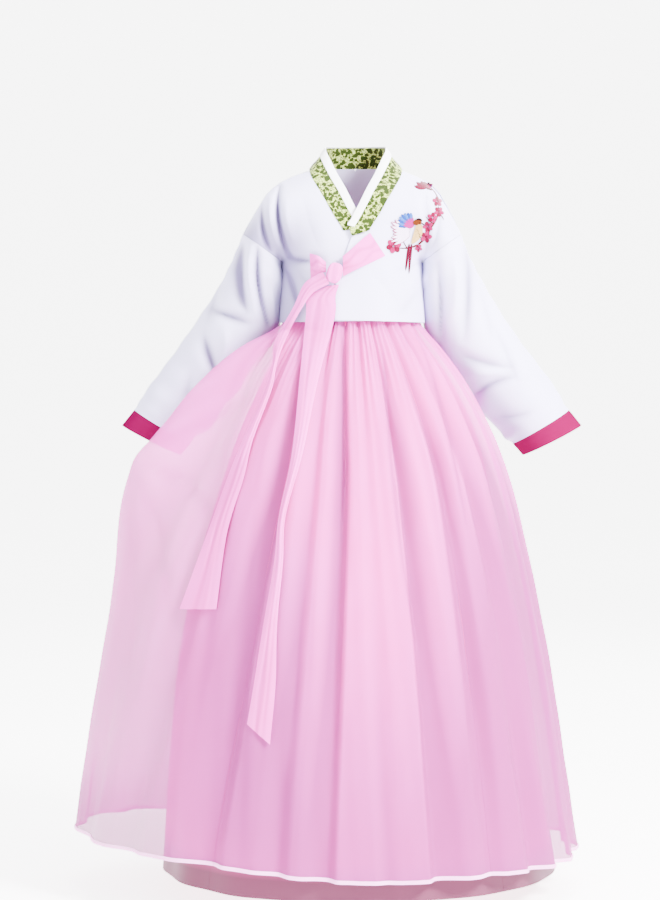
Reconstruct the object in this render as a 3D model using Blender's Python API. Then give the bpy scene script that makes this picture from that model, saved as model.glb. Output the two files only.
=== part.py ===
"""A girl's hanbok as it is worn, hollow: a short white jeogori over a full pink chima.

Run with  blender --background --python part.py  (Blender 4.5; metres, +Z up).
The front faces -Y and the wearer's left hand is on +X. The origin is the middle of the neck, level
with the shoulders, where the wearer holds the clothes up. Angles round the body are in degrees from
+X, so 90 is the back and 270 the front.
"""

import math
from typing import NamedTuple

import bmesh
import bpy
import numpy as np

# ---------------------------------------------------------------- driving dimensions, in metres
CLOTH = 0.0015  # wall of every panel
RIBBON_CLOTH = 0.0010  # the ribbon is a flat doubled strip
SEAM = 0.0003  # room between two pieces that are sewn together
LAYER = CLOTH + 2 * SEAM  # how far one layer stands off the one below it

HEM_Z = -0.193  # the jacket's hem
ARMPIT = (0.0935, -0.112)  # (x, z), also the top of the side seam
HEM_CORNER = (0.097, HEM_Z)  # (x, z), the side seam's bottom
SHOULDER_ROUND = 0.050  # how wide the roll over the shoulder is
SIDE_ROUND = 0.094  # the side rolls all the way to the middle
BOXY = 2.3  # exponent of the torso's section: 2 is an ellipse

COLLAR_WIDTH = 0.030
EDGING_WIDTH = 0.012
RIBBON_WIDTH = 0.046
BAND_TOP_Z = -0.072  # the skirt's chest band, under the jacket
BAND_BOTTOM_Z = -0.120
SKIRT_HEM_Z = -0.886
LINING_HEM_Z = -0.910
HAND_LIFT = 0.026  # how far the held side raises the hem
HAND_ANGLE = 188  # direction of the pinch that holds the skirt out


# ---------------------------------------------------------------- section tables
class Figure(NamedTuple):
    """Half depth of the clothed trunk at one height."""

    z: float
    front: float
    back: float


FIGURE = (
    Figure(-0.200, 0.080, 0.076),
    Figure(-0.150, 0.080, 0.077),
    Figure(-0.110, 0.079, 0.079),
    Figure(-0.070, 0.075, 0.080),
    Figure(-0.030, 0.064, 0.075),
    Figure(0.000, 0.051, 0.067),
    Figure(0.020, 0.043, 0.061),
)


class Ridge(NamedTuple):
    """A point on top of the shoulder, from the neck to the sleeve seam."""

    x: float
    z: float


RIDGE = (
    Ridge(0.0615, 0.010),
    Ridge(0.0830, 0.001),
    Ridge(0.0970, -0.006),
    Ridge(0.1080, -0.0145),
    Ridge(0.1165, -0.0235),
    Ridge(0.1275, -0.0425),
    Ridge(0.1370, -0.0595),
    Ridge(0.1455, -0.0750),
)


class SleeveRow(NamedTuple):
    """A section of the sleeve: its middle, its half sizes, and how its width leans from level."""

    x: float
    y: float
    z: float
    wide: float
    deep: float
    lean: float


SLEEVE = (
    SleeveRow(0.1195, 0.000, -0.0935, 0.0319, 0.056, 35.4),
    SleeveRow(0.1290, 0.008, -0.1310, 0.0372, 0.058, 30.7),
    SleeveRow(0.1465, 0.024, -0.1820, 0.0474, 0.056, 31.8),
    SleeveRow(0.1870, 0.042, -0.2445, 0.0491, 0.052, 31.3),
    SleeveRow(0.2280, 0.052, -0.2990, 0.0500, 0.048, 32.0),
    SleeveRow(0.2560, 0.052, -0.3330, 0.0443, 0.042, 31.0),
    SleeveRow(0.2710, 0.052, -0.3510, 0.0444, 0.040, 27.0),
)
CUFF_ROW = 5  # the sleeve runs to this row, and the cuff from it to the last


class SkirtRow(NamedTuple):
    """A section of the skirt: half sizes of its crests, and the pull towards the held side."""

    z: float
    side: float
    front: float
    back: float
    pull: float
    pull_spread: float  # degrees
    pull_angle: float  # degrees


SKIRT = (
    SkirtRow(-0.120, 0.085, 0.069, 0.067, 0.000, 9, HAND_ANGLE),
    SkirtRow(-0.193, 0.091, 0.074, 0.070, 0.002, 9, HAND_ANGLE + 6),
    SkirtRow(-0.225, 0.117, 0.092, 0.086, 0.036, 9, HAND_ANGLE + 5),
    SkirtRow(-0.270, 0.150, 0.116, 0.106, 0.054, 9, HAND_ANGLE + 3),
    SkirtRow(-0.340, 0.186, 0.150, 0.136, 0.078, 9, HAND_ANGLE),
    SkirtRow(-0.380, 0.202, 0.166, 0.152, 0.092, 10, HAND_ANGLE),
    SkirtRow(-0.430, 0.217, 0.181, 0.168, 0.090, 14, HAND_ANGLE - 1),
    SkirtRow(-0.520, 0.238, 0.205, 0.192, 0.076, 22, HAND_ANGLE - 3),
    SkirtRow(-0.640, 0.261, 0.231, 0.219, 0.069, 30, HAND_ANGLE - 5),
    SkirtRow(-0.760, 0.279, 0.254, 0.242, 0.070, 36, HAND_ANGLE - 7),
    SkirtRow(-0.890, 0.298, 0.276, 0.264, 0.068, 40, HAND_ANGLE - 8),
)


class LiningRow(NamedTuple):
    """A section of the skirt's lining, which is not held out."""

    z: float
    left: float  # towards +X
    right: float
    front: float
    back: float


LINING = (
    LiningRow(-0.120, 0.081, 0.081, 0.0650, 0.063),
    LiningRow(-0.193, 0.0815, 0.0815, 0.0645, 0.0605),
    LiningRow(-0.270, 0.131, 0.119, 0.0985, 0.0885),
    LiningRow(-0.340, 0.164, 0.150, 0.1310, 0.117),
    LiningRow(-0.430, 0.185, 0.180, 0.1630, 0.150),
    LiningRow(-0.520, 0.203, 0.206, 0.1870, 0.174),
    LiningRow(-0.640, 0.229, 0.230, 0.2130, 0.200),
    LiningRow(-0.760, 0.247, 0.241, 0.2350, 0.222),
    LiningRow(-0.915, 0.268, 0.250, 0.2580, 0.246),
)
SKIRT_CENTRE = ((-0.120, 0.000), (-0.193, -0.001), (-0.225, -0.012), (-0.340, -0.020), (-0.915, -0.012))  # (z, y)


class Fold(NamedTuple):
    """A trough that runs down the skirt; widths in degrees, right being anticlockwise from above."""

    top: float  # where it lies, in degrees
    middle: float
    hem: float
    left: float
    right: float
    deep_top: float  # depths in metres
    deep_middle: float
    deep_hem: float


FOLDS = (
    Fold(4, 4, 5, 6, 10, 0.005, 0.011, 0.014),
    Fold(22, 21, 21, 5, 9, 0.006, 0.010, 0.012),
    Fold(39, 38, 39, 6, 9, 0.005, 0.012, 0.016),
    Fold(56, 56, 56, 6, 8, 0.006, 0.009, 0.011),
    Fold(72, 72, 72, 6, 8, 0.005, 0.012, 0.015),
    Fold(108, 108, 108, 8, 6, 0.006, 0.012, 0.015),
    Fold(124, 125, 126, 8, 6, 0.005, 0.010, 0.012),
    Fold(141, 141, 143, 9, 6, 0.006, 0.011, 0.014),
    Fold(157, 158, 160, 8, 5, 0.005, 0.009, 0.013),
    Fold(176, 176, 177, 7, 6, 0.002, 0.004, 0.008),
    Fold(202, 200, 193, 7, 7, 0.003, 0.006, 0.009),
    Fold(219, 218, 210, 8, 6, 0.004, 0.008, 0.010),
    Fold(236, 239, 233, 10, 4, 0.006, 0.013, 0.010),
    Fold(250, 253, 250, 6, 4, 0.005, 0.005, 0.007),
    Fold(263, 266, 263, 8, 3, 0.007, 0.014, 0.009),
    Fold(276, 276, 279, 4, 4, 0.006, 0.004, 0.003),
    Fold(290, 291, 292, 3, 9, 0.006, 0.013, 0.010),
    Fold(307, 309, 308, 6, 4, 0.006, 0.012, 0.009),
    Fold(320, 321, 322, 5, 6, 0.006, 0.007, 0.010),
    Fold(335, 335, 335, 6, 5, 0.005, 0.010, 0.010),
    Fold(349, 349, 349, 5, 5, 0.005, 0.008, 0.012),
)
FOLD_HEIGHTS = (-0.200, -0.380, -0.860)  # where top, middle and hem are given


class CollarRow(NamedTuple):
    """A section of the collar on the wearer's left, from the nape to the front."""

    low_x: float  # the seam edge lies on the jacket, so its y follows
    low_z: float
    top_x: float
    top_y: float
    top_z: float


COLLAR = (
    CollarRow(0.0050, 0.0160, 0.0050, 0.0520, 0.0440),
    CollarRow(0.0290, 0.0158, 0.0220, 0.0480, 0.0435),
    CollarRow(0.0490, 0.0140, 0.0370, 0.0330, 0.0420),
    CollarRow(0.0615, 0.0120, 0.0440, 0.0130, 0.0400),
    CollarRow(0.0665, 0.0100, 0.0445, -0.0080, 0.0350),
    CollarRow(0.0630, -0.0020, 0.0390, -0.0260, 0.0200),
    CollarRow(0.0560, -0.0150, 0.0310, -0.0430, 0.0010),
    CollarRow(0.0455, -0.0330, 0.0205, -0.0600, -0.0180),
    CollarRow(0.0350, -0.0520, 0.0100, -0.0700, -0.0390),
    CollarRow(0.0240, -0.0690, 0.0000, -0.0755, -0.0580),
    CollarRow(0.0210, -0.0735, -0.0050, -0.0775, -0.0665),
    CollarRow(0.0002, -0.0806, -0.0016, -0.0790, -0.0790),  # the corner of the overlapping end
)
NECK_MIDDLE_X = 0.005  # the crossed fronts set the neck a little to the wearer's left
FRONT_ROW = 4  # the collar row on top of the shoulder
COLLAR_END = 10  # the row where the band is cut square
COLLAR_CUT = ((0.0210, -0.0735), (-0.0010, -0.0810))  # (x, z) of the left front's top corner
EDGING_SHARE = 0.30  # the white edging covers this much of the collar's height
EDGING_STAND = 0.004  # and stands this far above it


class RibbonRow(NamedTuple):
    """A section of the ribbon: its two edges from the front, and how far its middle stands out."""

    left_x: float
    left_z: float
    right_x: float
    right_z: float
    stand: float  # above the cloth below
    curl: float


BAND = (
    RibbonRow(0.0229, -0.0766, 0.0429, -0.1063, 0.0016, 0.000),
    RibbonRow(0.0102, -0.0868, 0.0273, -0.1141, 0.0020, 0.001),
    RibbonRow(-0.0029, -0.0990, 0.0078, -0.1233, 0.0035, 0.003),
    RibbonRow(-0.0127, -0.1073, -0.0122, -0.1336, 0.0050, 0.004),
)
EAR = (
    RibbonRow(-0.0345, -0.1150, -0.0345, -0.1280, 0.0050, 0.003),
    RibbonRow(-0.0440, -0.1070, -0.0440, -0.1300, 0.0060, 0.004),
    RibbonRow(-0.0560, -0.1030, -0.0545, -0.1370, 0.0030, 0.002),
)
TAIL_SHORT = (
    RibbonRow(-0.0390, -0.1277, -0.0302, -0.1433, 0.0110, 0.003),
    RibbonRow(-0.0622, -0.1420, -0.0506, -0.1543, 0.0110, 0.004),
    RibbonRow(-0.0765, -0.1715, -0.0633, -0.1706, 0.0110, 0.004),
    RibbonRow(-0.0946, -0.2029, -0.0790, -0.1977, 0.0110, 0.004),
    RibbonRow(-0.1034, -0.2236, -0.0905, -0.2236, 0.0110, 0.005),
    RibbonRow(-0.1047, -0.2494, -0.0986, -0.2494, 0.0100, 0.005),
    RibbonRow(-0.1142, -0.2784, -0.1048, -0.2813, 0.0090, 0.004),
    RibbonRow(-0.1419, -0.3452, -0.1279, -0.3440, 0.0080, 0.004),
    RibbonRow(-0.1605, -0.3918, -0.1401, -0.3944, 0.0070, 0.003),
    RibbonRow(-0.1860, -0.4629, -0.1607, -0.4629, 0.0060, 0.003),
    RibbonRow(-0.2207, -0.5586, -0.1730, -0.5561, 0.0060, 0.002),
)
TAIL_LONG = (
    RibbonRow(-0.0341, -0.1462, -0.0175, -0.1443, 0.0040, 0.003),
    RibbonRow(-0.0584, -0.1601, -0.0220, -0.1601, 0.0040, 0.002),
    RibbonRow(-0.0609, -0.1848, -0.0233, -0.1873, 0.0040, 0.002),
    RibbonRow(-0.0683, -0.2649, -0.0438, -0.2649, 0.0040, 0.004),
    RibbonRow(-0.0779, -0.3604, -0.0639, -0.3604, 0.0040, 0.005),
    RibbonRow(-0.0938, -0.4380, -0.0850, -0.4380, 0.0050, 0.006),
    RibbonRow(-0.0997, -0.4962, -0.0883, -0.4962, 0.0050, 0.005),
    RibbonRow(-0.1127, -0.5719, -0.0952, -0.5719, 0.0050, 0.004),
    RibbonRow(-0.1243, -0.6453, -0.0969, -0.6453, 0.0050, 0.003),
    RibbonRow(-0.1324, -0.6940, -0.1037, -0.7176, 0.0050, 0.002),
)
KNOT = (-0.0234, -0.1290)  # (x, z)
KNOT_HALF = (0.0095, 0.0060, 0.0140)

SEAM_FOLDS = (7, 12)  # the skirt's panels meet in these two folds, counted from the back opening
LINING_PANELS = (("right", 90, 225), ("front", 225, 315), ("left", 315, 450))  # degrees
BAND_COLUMNS = 48
WHITE = (0.80, 0.80, 0.88)
PINK = (0.93, 0.55, 0.74)
LINING_PINK = (0.86, 0.42, 0.62)
RIBBON_PINK = (0.95, 0.63, 0.80)
HOT_PINK = (0.88, 0.01, 0.20)
BROCADE = (0.50, 0.54, 0.34)
EDGE_WHITE = (0.92, 0.92, 0.92)


# ---------------------------------------------------------------- curves and surfaces
def between(rows, column, at, key=0):
    """The value of one column of a table at a height."""
    order = sorted(rows, key=lambda row: row[key])
    return float(np.interp(at, [row[key] for row in order], [row[column] for row in order]))


def smooth(t):
    t = min(1.0, max(0.0, t))
    return t * t * (3 - 2 * t)


def roll(t):
    """The round profile of a cloth that turns away over an edge, from 0 at the edge to 1."""
    t = min(1.0, max(0.0, t))
    return (1 - (1 - t) ** BOXY) ** (1 / BOXY)


def distance(x, z, line):
    """How far (x, z) is from a line of points."""
    best = 1e9
    for (x0, z0), (x1, z1) in zip(line, line[1:]):
        dx, dz = x1 - x0, z1 - z0
        t = min(1.0, max(0.0, ((x - x0) * dx + (z - z0) * dz) / (dx * dx + dz * dz)))
        best = min(best, math.hypot(x - x0 - t * dx, z - z0 - t * dz))
    return best


TOP_LINE = ((-0.020, 0.075), (0.047, 0.034), *RIDGE, (0.166, -0.120))
SIDE_LINE = ((0.099, -0.300), HEM_CORNER, ARMPIT, (0.118, -0.150))


def trunk(x, z, sign):
    """The jacket's y at (x, z); sign is -1 in front and 1 behind."""
    depth = between(FIGURE, 1 if sign < 0 else 2, z)
    top = distance(across(x), z, TOP_LINE) / SHOULDER_ROUND
    return sign * depth * roll(top) * roll(distance(abs(x), z, SIDE_LINE) / SIDE_ROUND)


def across(x):
    """Distance from the neck's middle, which shifts back to the body's middle at the arm."""
    return abs(x - NECK_MIDDLE_X * smooth((0.120 - abs(x)) / 0.050))


def along(line, t):
    """The point at share t of a line's length."""
    line = np.array(line, float)
    run = np.concatenate([[0.0], np.cumsum(np.linalg.norm(np.diff(line, axis=0), axis=1))])
    return np.array([np.interp(t * run[-1], run, line[:, i]) for i in range(line.shape[1])])


def skirt_centre(z):
    return between(SKIRT_CENTRE, 1, z)


def oval(angle, side, front, back):
    """Distance from the middle to a rounded box's edge, in the direction of an angle."""
    c, s = math.cos(angle), math.sin(angle)
    deep = back if s > 0 else front
    return (abs(c / side) ** 2.15 + abs(s / deep) ** 2.15) ** (-1 / 2.15)


def fold_places(z):
    """Every fold's angle and depth at a height."""
    heights = FOLD_HEIGHTS[::-1]
    places = []
    for fold in FOLDS:
        at = np.interp(z, heights, (fold.hem, fold.middle, fold.top))
        deep = np.interp(z, heights, (fold.deep_hem, fold.deep_middle, fold.deep_top))
        places.append((at, deep, fold.left, fold.right))
    return places


def crest_radius(degrees, z):
    """The skirt's surface from its middle, folds apart."""
    size = [between(SKIRT, column, z) for column in range(1, 7)]
    off = (degrees - size[5] + 180) % 360 - 180
    return oval(math.radians(degrees), *size[:3]) + size[3] * math.exp(-((off / size[4]) ** 2))


def skirt_radius(degrees, z):
    radius = crest_radius(degrees, z)
    squeezed = smooth((-0.110 - z) / 0.070)
    for at, deep, left, right in fold_places(z):
        off = (degrees - at + 180) % 360 - 180
        radius -= squeezed * deep * max(0.0, 1 - smooth(abs(off) / (right if off > 0 else left)))
    return radius


def skirt_front(x, z):
    """How far forward the skirt's crests stand at (x, z)."""
    best = 0.0
    for degrees in range(180, 360):
        ends = []
        for at in (degrees, degrees + 1):
            radius = crest_radius(at, z)
            turn = math.radians(at)
            ends.append((radius * math.cos(turn), skirt_centre(z) + radius * math.sin(turn)))
        (x0, y0), (x1, y1) = ends
        if min(x0, x1) <= x <= max(x0, x1):
            best = min(best, y0 + (y1 - y0) * (x - x0) / (x1 - x0))
    return best


def lining_radius(degrees, z):
    angle = math.radians(degrees)
    right, left = between(LINING, 2, z), between(LINING, 1, z)
    side = left if math.cos(angle) > 0 else right
    wave = 0.0015 * math.cos(16 * angle)  # lowest at the seams
    return oval(angle, side, between(LINING, 3, z), between(LINING, 4, z)) - wave


# ---------------------------------------------------------------- meshes
def material(name, color, roughness):
    made = bpy.data.materials.new(name)
    made.use_nodes = True
    shader = made.node_tree.nodes["Principled BSDF"]
    shader.inputs["Base Color"].default_value = (*color, 1)
    shader.inputs["Roughness"].default_value = roughness
    return made


def add(name, points, faces, finish):
    mesh = bpy.data.meshes.new(name)
    mesh.from_pydata([tuple(point) for point in points], [], faces)
    body = bmesh.new()
    body.from_mesh(mesh)
    bmesh.ops.recalc_face_normals(body, faces=body.faces)
    body.to_mesh(mesh)
    body.free()
    mesh.materials.append(finish)
    made = bpy.data.objects.new(name, mesh)
    bpy.context.collection.objects.link(made)
    return made


def outward(grid, round_about, inside):
    """Unit normals of a grid of points, facing away from the points inside."""
    down = np.gradient(grid, axis=0)
    if round_about:
        wide = np.roll(grid, -1, axis=1) - np.roll(grid, 1, axis=1)
    else:
        wide = np.gradient(grid, axis=1)
    normal = np.cross(down, wide)
    normal /= np.maximum(np.linalg.norm(normal, axis=2, keepdims=True), 1e-12)
    if np.sum(normal * (grid - inside)) < 0:
        normal = -normal
    return normal


def cloth(name, grid, finish, inside, wall=CLOTH, round_about=False):
    """A wall of cloth whose outer face is a grid of points."""
    grid = np.array(grid, float)
    inner = grid - wall * outward(grid, round_about, np.array(inside, float))
    rows, columns = grid.shape[:2]
    points = np.concatenate([grid.reshape(-1, 3), inner.reshape(-1, 3)])
    count = rows * columns
    faces = []
    last = columns if round_about else columns - 1
    for i in range(rows - 1):
        for j in range(last):
            k = (j + 1) % columns
            a, b, c, d = i * columns + j, i * columns + k, (i + 1) * columns + k, (i + 1) * columns + j
            faces += [(a, b, c, d), (a + count, d + count, c + count, b + count)]
    for j in range(last):
        k = (j + 1) % columns
        for i in (0, rows - 1):
            a, b = i * columns + j, i * columns + k
            faces.append((a, b, b + count, a + count))
    if not round_about:
        for i in range(rows - 1):
            for j in (0, columns - 1):
                a, b = i * columns + j, (i + 1) * columns + j
                faces.append((a, b, b + count, a + count))
    return add(name, points, faces, finish)


# ---------------------------------------------------------------- jacket
def over(x, z):
    """How far the left front is lifted, where it lies on the right one."""
    return 0.0028 * smooth((0.075 - x) / 0.040) * smooth((0.030 - z) / 0.035)


def collar_low(row, left):
    """The seam edge of the collar, as (x, z)."""
    x, z = COLLAR[row].low_x, COLLAR[row].low_z
    return (x if left else 2 * NECK_MIDDLE_X - x), z


def corners(line):
    """The shares of a line's length at which it turns."""
    steps = np.linalg.norm(np.diff(np.array(line, float), axis=0), axis=1)
    return np.concatenate([[0.0], np.cumsum(steps)]) / steps.sum()


def stations(lines, even):
    """Even shares, with each one that is near a corner of a line moved to it."""
    wanted = sorted({float(t) for line in lines for t in corners(line)})
    free = [t for t in even if min(abs(t - w) for w in wanted) > 0.035]
    return sorted(wanted + free)


OUTER_LINE = (HEM_CORNER, ARMPIT, (RIDGE[-1].x, RIDGE[-1].z))


def body_half(side):
    """One half of the jacket, from the front hem over the shoulder to the back hem."""
    left = side > 0
    neck = [collar_low(row, left) for row in range(COLLAR_END, FRONT_ROW - 1, -2)]
    if left:
        front = [(-0.0226, HEM_Z + 0.003), (-0.0215, -0.1400), COLLAR_CUT[1], *neck]
    else:
        front = [(0.0300, HEM_Z + 0.002), (0.0180, -0.1300), (0.0060, -0.0830), *neck]
    nape = [collar_low(row, left) for row in range(FRONT_ROW, -1, -1)]
    middle = NECK_MIDDLE_X + side * SEAM / 2
    nape[-1] = (middle, nape[-1][1])
    back = [*nape, (side * SEAM / 2, -0.090), (side * SEAM / 2, HEM_Z)]
    quarter = np.linspace(0, 1, 9) * math.pi / 2
    grid = []
    for v in stations((front, OUTER_LINE), np.sin(quarter)):
        grid.append(body_row(along(front, v), along(OUTER_LINE, v), v, -1, side))
    outer = OUTER_LINE[::-1]
    for v in stations((back, outer), 1 - np.cos(quarter))[1:]:
        grid.append(body_row(along(back, v), along(outer, v), 1 - v, 1, side))
    return grid


def body_row(near, far, closeness, sign, side):
    """A row across the jacket; closeness to the shoulder bends it to follow the ridge."""
    row = []
    for u in np.sin(np.linspace(0.0, 1.0, 9) * math.pi / 2):
        x = near[0] + (side * far[0] - near[0]) * u
        z = near[1] + (far[1] - near[1]) * u
        straight = RIDGE[0].z + (RIDGE[-1].z - RIDGE[0].z) * u
        on_ridge = RIDGE[0].x + (RIDGE[-1].x - RIDGE[0].x) * u
        z += (between(RIDGE, 1, on_ridge) - straight) * smooth(closeness * 5 - 4)
        y = trunk(x, z, sign) + sign * SEAM
        if side > 0 and sign < 0:
            y -= over(x, z)
        row.append((x, y, z))
    return row


def build_body(finish):
    for name, side in (("jacket_left", 1), ("jacket_right", -1)):
        cloth(name, body_half(side), finish, (side * 0.06, 0, -0.10))


# ---------------------------------------------------------------- sleeves
def sleeve_ring(at, side, columns=18):
    """A ring of the sleeve at a fractional row; row 0 is the seam with the jacket."""
    low = int(min(at, len(SLEEVE) - 2))
    row = [a + (b - a) * (at - low) for a, b in zip(SLEEVE[low], SLEEVE[low + 1])]
    x, y, z, wide, deep, lean = row
    lean = math.radians(lean)
    seam = 1 - smooth(at / 1.2)
    ring = []
    for k in range(columns):
        turn = 2 * math.pi * k / columns
        s, sign = math.cos(turn), (1 if math.sin(turn) >= 0 else -1)
        px, pz = x + s * wide * math.cos(lean), z + s * wide * math.sin(lean)
        sx = SLEEVE[0].x + s * SLEEVE[0].wide * math.cos(math.radians(SLEEVE[0].lean))
        sz = SLEEVE[0].z + s * SLEEVE[0].wide * math.sin(math.radians(SLEEVE[0].lean))
        py = y + deep * math.sin(turn)
        py += seam * (trunk(sx, sz, sign) - (SLEEVE[0].y + SLEEVE[0].deep * math.sin(turn)))
        ring.append((side * px, py, pz))
    return ring


def build_sleeves(finish, trim):
    for name, side in (("left", 1), ("right", -1)):
        rows = [0.02, 0.45, 1, 1.5, 2, 2.5, 3, 3.5, 4, CUFF_ROW - 0.01]
        grid = [sleeve_ring(at, side) for at in rows]
        inside = np.mean(np.array(grid), axis=1, keepdims=True)
        cloth("sleeve_" + name, grid, finish, inside, round_about=True)
        grid = [sleeve_ring(at, side) for at in (CUFF_ROW + 0.01, len(SLEEVE) - 1)]
        inside = np.mean(np.array(grid), axis=1, keepdims=True)
        cloth("cuff_" + name, grid, trim, inside, round_about=True)


# ---------------------------------------------------------------- collar
def collar_edges(row, left):
    """The collar's two edges at a row, on its outer face."""
    x, z = collar_low(row, left)
    sign = 1 if row < FRONT_ROW else -1
    low = np.array((x, trunk(x, z, sign) + sign * SEAM, z))
    top = np.array((COLLAR[row].top_x, COLLAR[row].top_y, COLLAR[row].top_z))
    crossing = smooth((row - FRONT_ROW) / 3)
    if left:
        low[1] -= 0.0046 * crossing
        top[1] -= 0.0012 * crossing
    else:
        top[0] = 2 * NECK_MIDDLE_X - top[0]
        top[1] += 0.0052 * crossing
    return low, top


def collar_line(share, out, last_left, last_right):
    """Points along the whole collar at a share of its height, moved out by some of the wall."""
    rows = [(row, False) for row in range(last_right, 0, -1)]
    rows += [(row, True) for row in range(last_left + 1)]
    line = []
    for row, left in rows:
        low, top = collar_edges(row, left)
        line.append(low + (top - low) * share)
    return line


def build_collar(finish, edging):
    shares = (0.045, 0.35, 0.70, 1.0)
    grid = np.array([collar_line(share, 0, len(COLLAR) - 1, COLLAR_END - 1) for share in shares])
    inside = np.array((NECK_MIDDLE_X, 0.0, 0.0))
    cloth("collar", grid, finish, inside)
    normal = outward(grid, False, inside)
    shell = (grid + normal * LAYER)[:, :-1]
    top = shell[-1] + (shell[-1] - shell[0]) * 0.05
    folded = np.array([shell[0] + (shell[-1] - shell[0]) * (1 - EDGING_SHARE), shell[-1], top])
    cloth("collar_edging", folded, edging, inside)


# ---------------------------------------------------------------- ribbons
def ribbon(name, rows, finish):
    """A strip with its middle ridge standing out, laid in front of the jacket and the skirt."""
    grid = []
    fine = np.linspace(0, len(rows) - 1, 2 * len(rows) - 1)
    for at in fine:
        low = int(min(at, len(rows) - 2))
        row = RibbonRow(*(a + (b - a) * (at - low) for a, b in zip(rows[low], rows[low + 1])))
        line = []
        for share in (0.0, 0.25, 0.5, 0.75, 1.0):
            x = row.left_x + (row.right_x - row.left_x) * share
            z = row.left_z + (row.right_z - row.left_z) * share
            y = skirt_front(x, z)
            if z > HEM_Z:
                y = min(y, trunk(x, z, -1) - over(x, z) - SEAM)
            line.append((x, y - row.stand - row.curl * math.sin(share * math.pi), z))
        grid.append(line)
    cloth(name, grid, finish, (0, 0.5, -0.3), RIBBON_CLOTH)


def build_ribbons(finish):
    ribbon("ribbon_band", BAND, finish)
    ribbon("ribbon_loop", EAR, finish)
    ribbon("ribbon_tail_short", TAIL_SHORT, finish)
    ribbon("ribbon_tail_long", TAIL_LONG, finish)
    x, z = KNOT
    y = trunk(x, z, -1) - over(x, z) - 0.0025 - KNOT_HALF[1]
    rows = []
    for i in range(1, 7):
        tilt = math.pi * i / 7
        ring = [(math.sin(tilt) * math.cos(turn), math.sin(tilt) * math.sin(turn), math.cos(tilt))
                for turn in np.linspace(0, 2 * math.pi, 12, endpoint=False)]
        rows += [(x + KNOT_HALF[0] * a, y + KNOT_HALF[1] * b, z + KNOT_HALF[2] * c) for a, b, c in ring]
    faces = [tuple(range(12)), tuple(range(60, 72))]
    for i in range(5):
        faces += [(12 * i + j, 12 * i + (j + 1) % 12, 12 * i + 12 + (j + 1) % 12, 12 * i + 12 + j)
                  for j in range(12)]
    add("ribbon_knot", rows, faces, finish)


# ---------------------------------------------------------------- skirt
def skirt_columns(z):
    """The angles of the skirt's columns at a height, from the back opening round to it again."""
    columns = []
    places = fold_places(z)
    order = [*places[5:], *[(at + 360, *rest) for at, *rest in places[:5]]]
    for index, (at, _, left, right) in enumerate(order):
        columns.append((at - left, None))
        if left > 7:
            columns.append((at - left / 2, None))
        columns.append((at, index))
        if right > 7:
            columns.append((at + right / 2, None))
        columns.append((at + right, None))
    return [(90.0, "open"), *columns, (450.0, "close")]


def hem_lift(degrees, z):
    """How much a point of the skirt rises towards the hand that holds it."""
    off = (degrees - HAND_ANGLE + 180) % 360 - 180
    share = smooth((-0.30 - z) / 0.60)
    return share * (HAND_LIFT * math.exp(-((off / 60) ** 2)) + 0.002 * math.sin(math.radians(5 * degrees)))


def skirt_panel(first, last):
    """The outer face of the skirt between two of its columns."""
    heights = [BAND_BOTTOM_Z - SEAM, *[row.z for row in SKIRT[1:-1]], SKIRT_HEM_Z]
    grid = []
    for z in heights:
        columns = skirt_columns(z)[first : last + 1]
        line = []
        for k, (degrees, _) in enumerate(columns):
            radius = skirt_radius(degrees, z)
            inset = math.degrees(SEAM / 2 / radius) * ((k == 0) - (k == len(columns) - 1))
            turn = math.radians(degrees + inset)
            line.append((radius * math.cos(turn), skirt_centre(z) + radius * math.sin(turn),
                         z + hem_lift(degrees, z)))
        grid.append(line)
    return grid


def lining_panel(first, last):
    """The outer face of the lining between two angles."""
    steps = round((last - first) / 10)
    heights = [BAND_BOTTOM_Z - SEAM, *[row.z for row in LINING[1:-1]], LINING_HEM_Z]
    grid = []
    for z in heights:
        line = []
        for k, degrees in enumerate(np.linspace(first, last, steps + 1)):
            radius = lining_radius(degrees, z)
            inset = math.degrees(SEAM / 2 / radius) * ((k == 0) - (k == steps))
            turn = math.radians(degrees + inset)
            line.append((radius * math.cos(turn), skirt_centre(z) + radius * math.sin(turn), z))
        grid.append(line)
    return grid


def build_skirt(shell, lining):
    marks = [mark for _, mark in skirt_columns(-0.2)]
    start, end = marks.index(SEAM_FOLDS[0]), marks.index(SEAM_FOLDS[1])
    for name, first, last in (("right", 0, start), ("front", start, end), ("left", end, len(marks) - 1)):
        grid = skirt_panel(first, last)
        cloth("skirt_" + name, grid, shell, (0, -0.012, -0.5))
    for name, first, last in LINING_PANELS:
        cloth("lining_" + name, lining_panel(first, last), lining, (0, -0.012, -0.5))


def build_band(finish):
    """The chest band, which the skirt hangs from; it ties behind, where it is open."""
    grid = []
    for z in (BAND_TOP_Z, BAND_BOTTOM_Z):
        line = []
        for degrees in np.linspace(90.1, 449.9, BAND_COLUMNS + 1):
            radius = oval(math.radians(degrees), SKIRT[0].side, SKIRT[0].front, SKIRT[0].back)
            radius *= 0.985 if z == BAND_TOP_Z else 1.0
            turn = math.radians(degrees)
            line.append((radius * math.cos(turn), radius * math.sin(turn), z))
        grid.append(line)
    cloth("skirt_band", grid, finish, (0, 0, -0.1), 2 * CLOTH)


def main():
    for old in list(bpy.data.objects):
        bpy.data.objects.remove(old)
    white = material("white_satin", WHITE, 0.45)
    pink = material("pink_organza", PINK, 0.55)
    satin = material("pink_lining", LINING_PINK, 0.50)
    build_body(white)
    build_sleeves(white, material("cuff_satin", HOT_PINK, 0.45))
    build_collar(material("green_brocade", BROCADE, 0.60), material("edging_white", EDGE_WHITE, 0.60))
    build_ribbons(material("ribbon_pink", RIBBON_PINK, 0.50))
    build_skirt(pink, satin)
    build_band(satin)


main()
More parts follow.
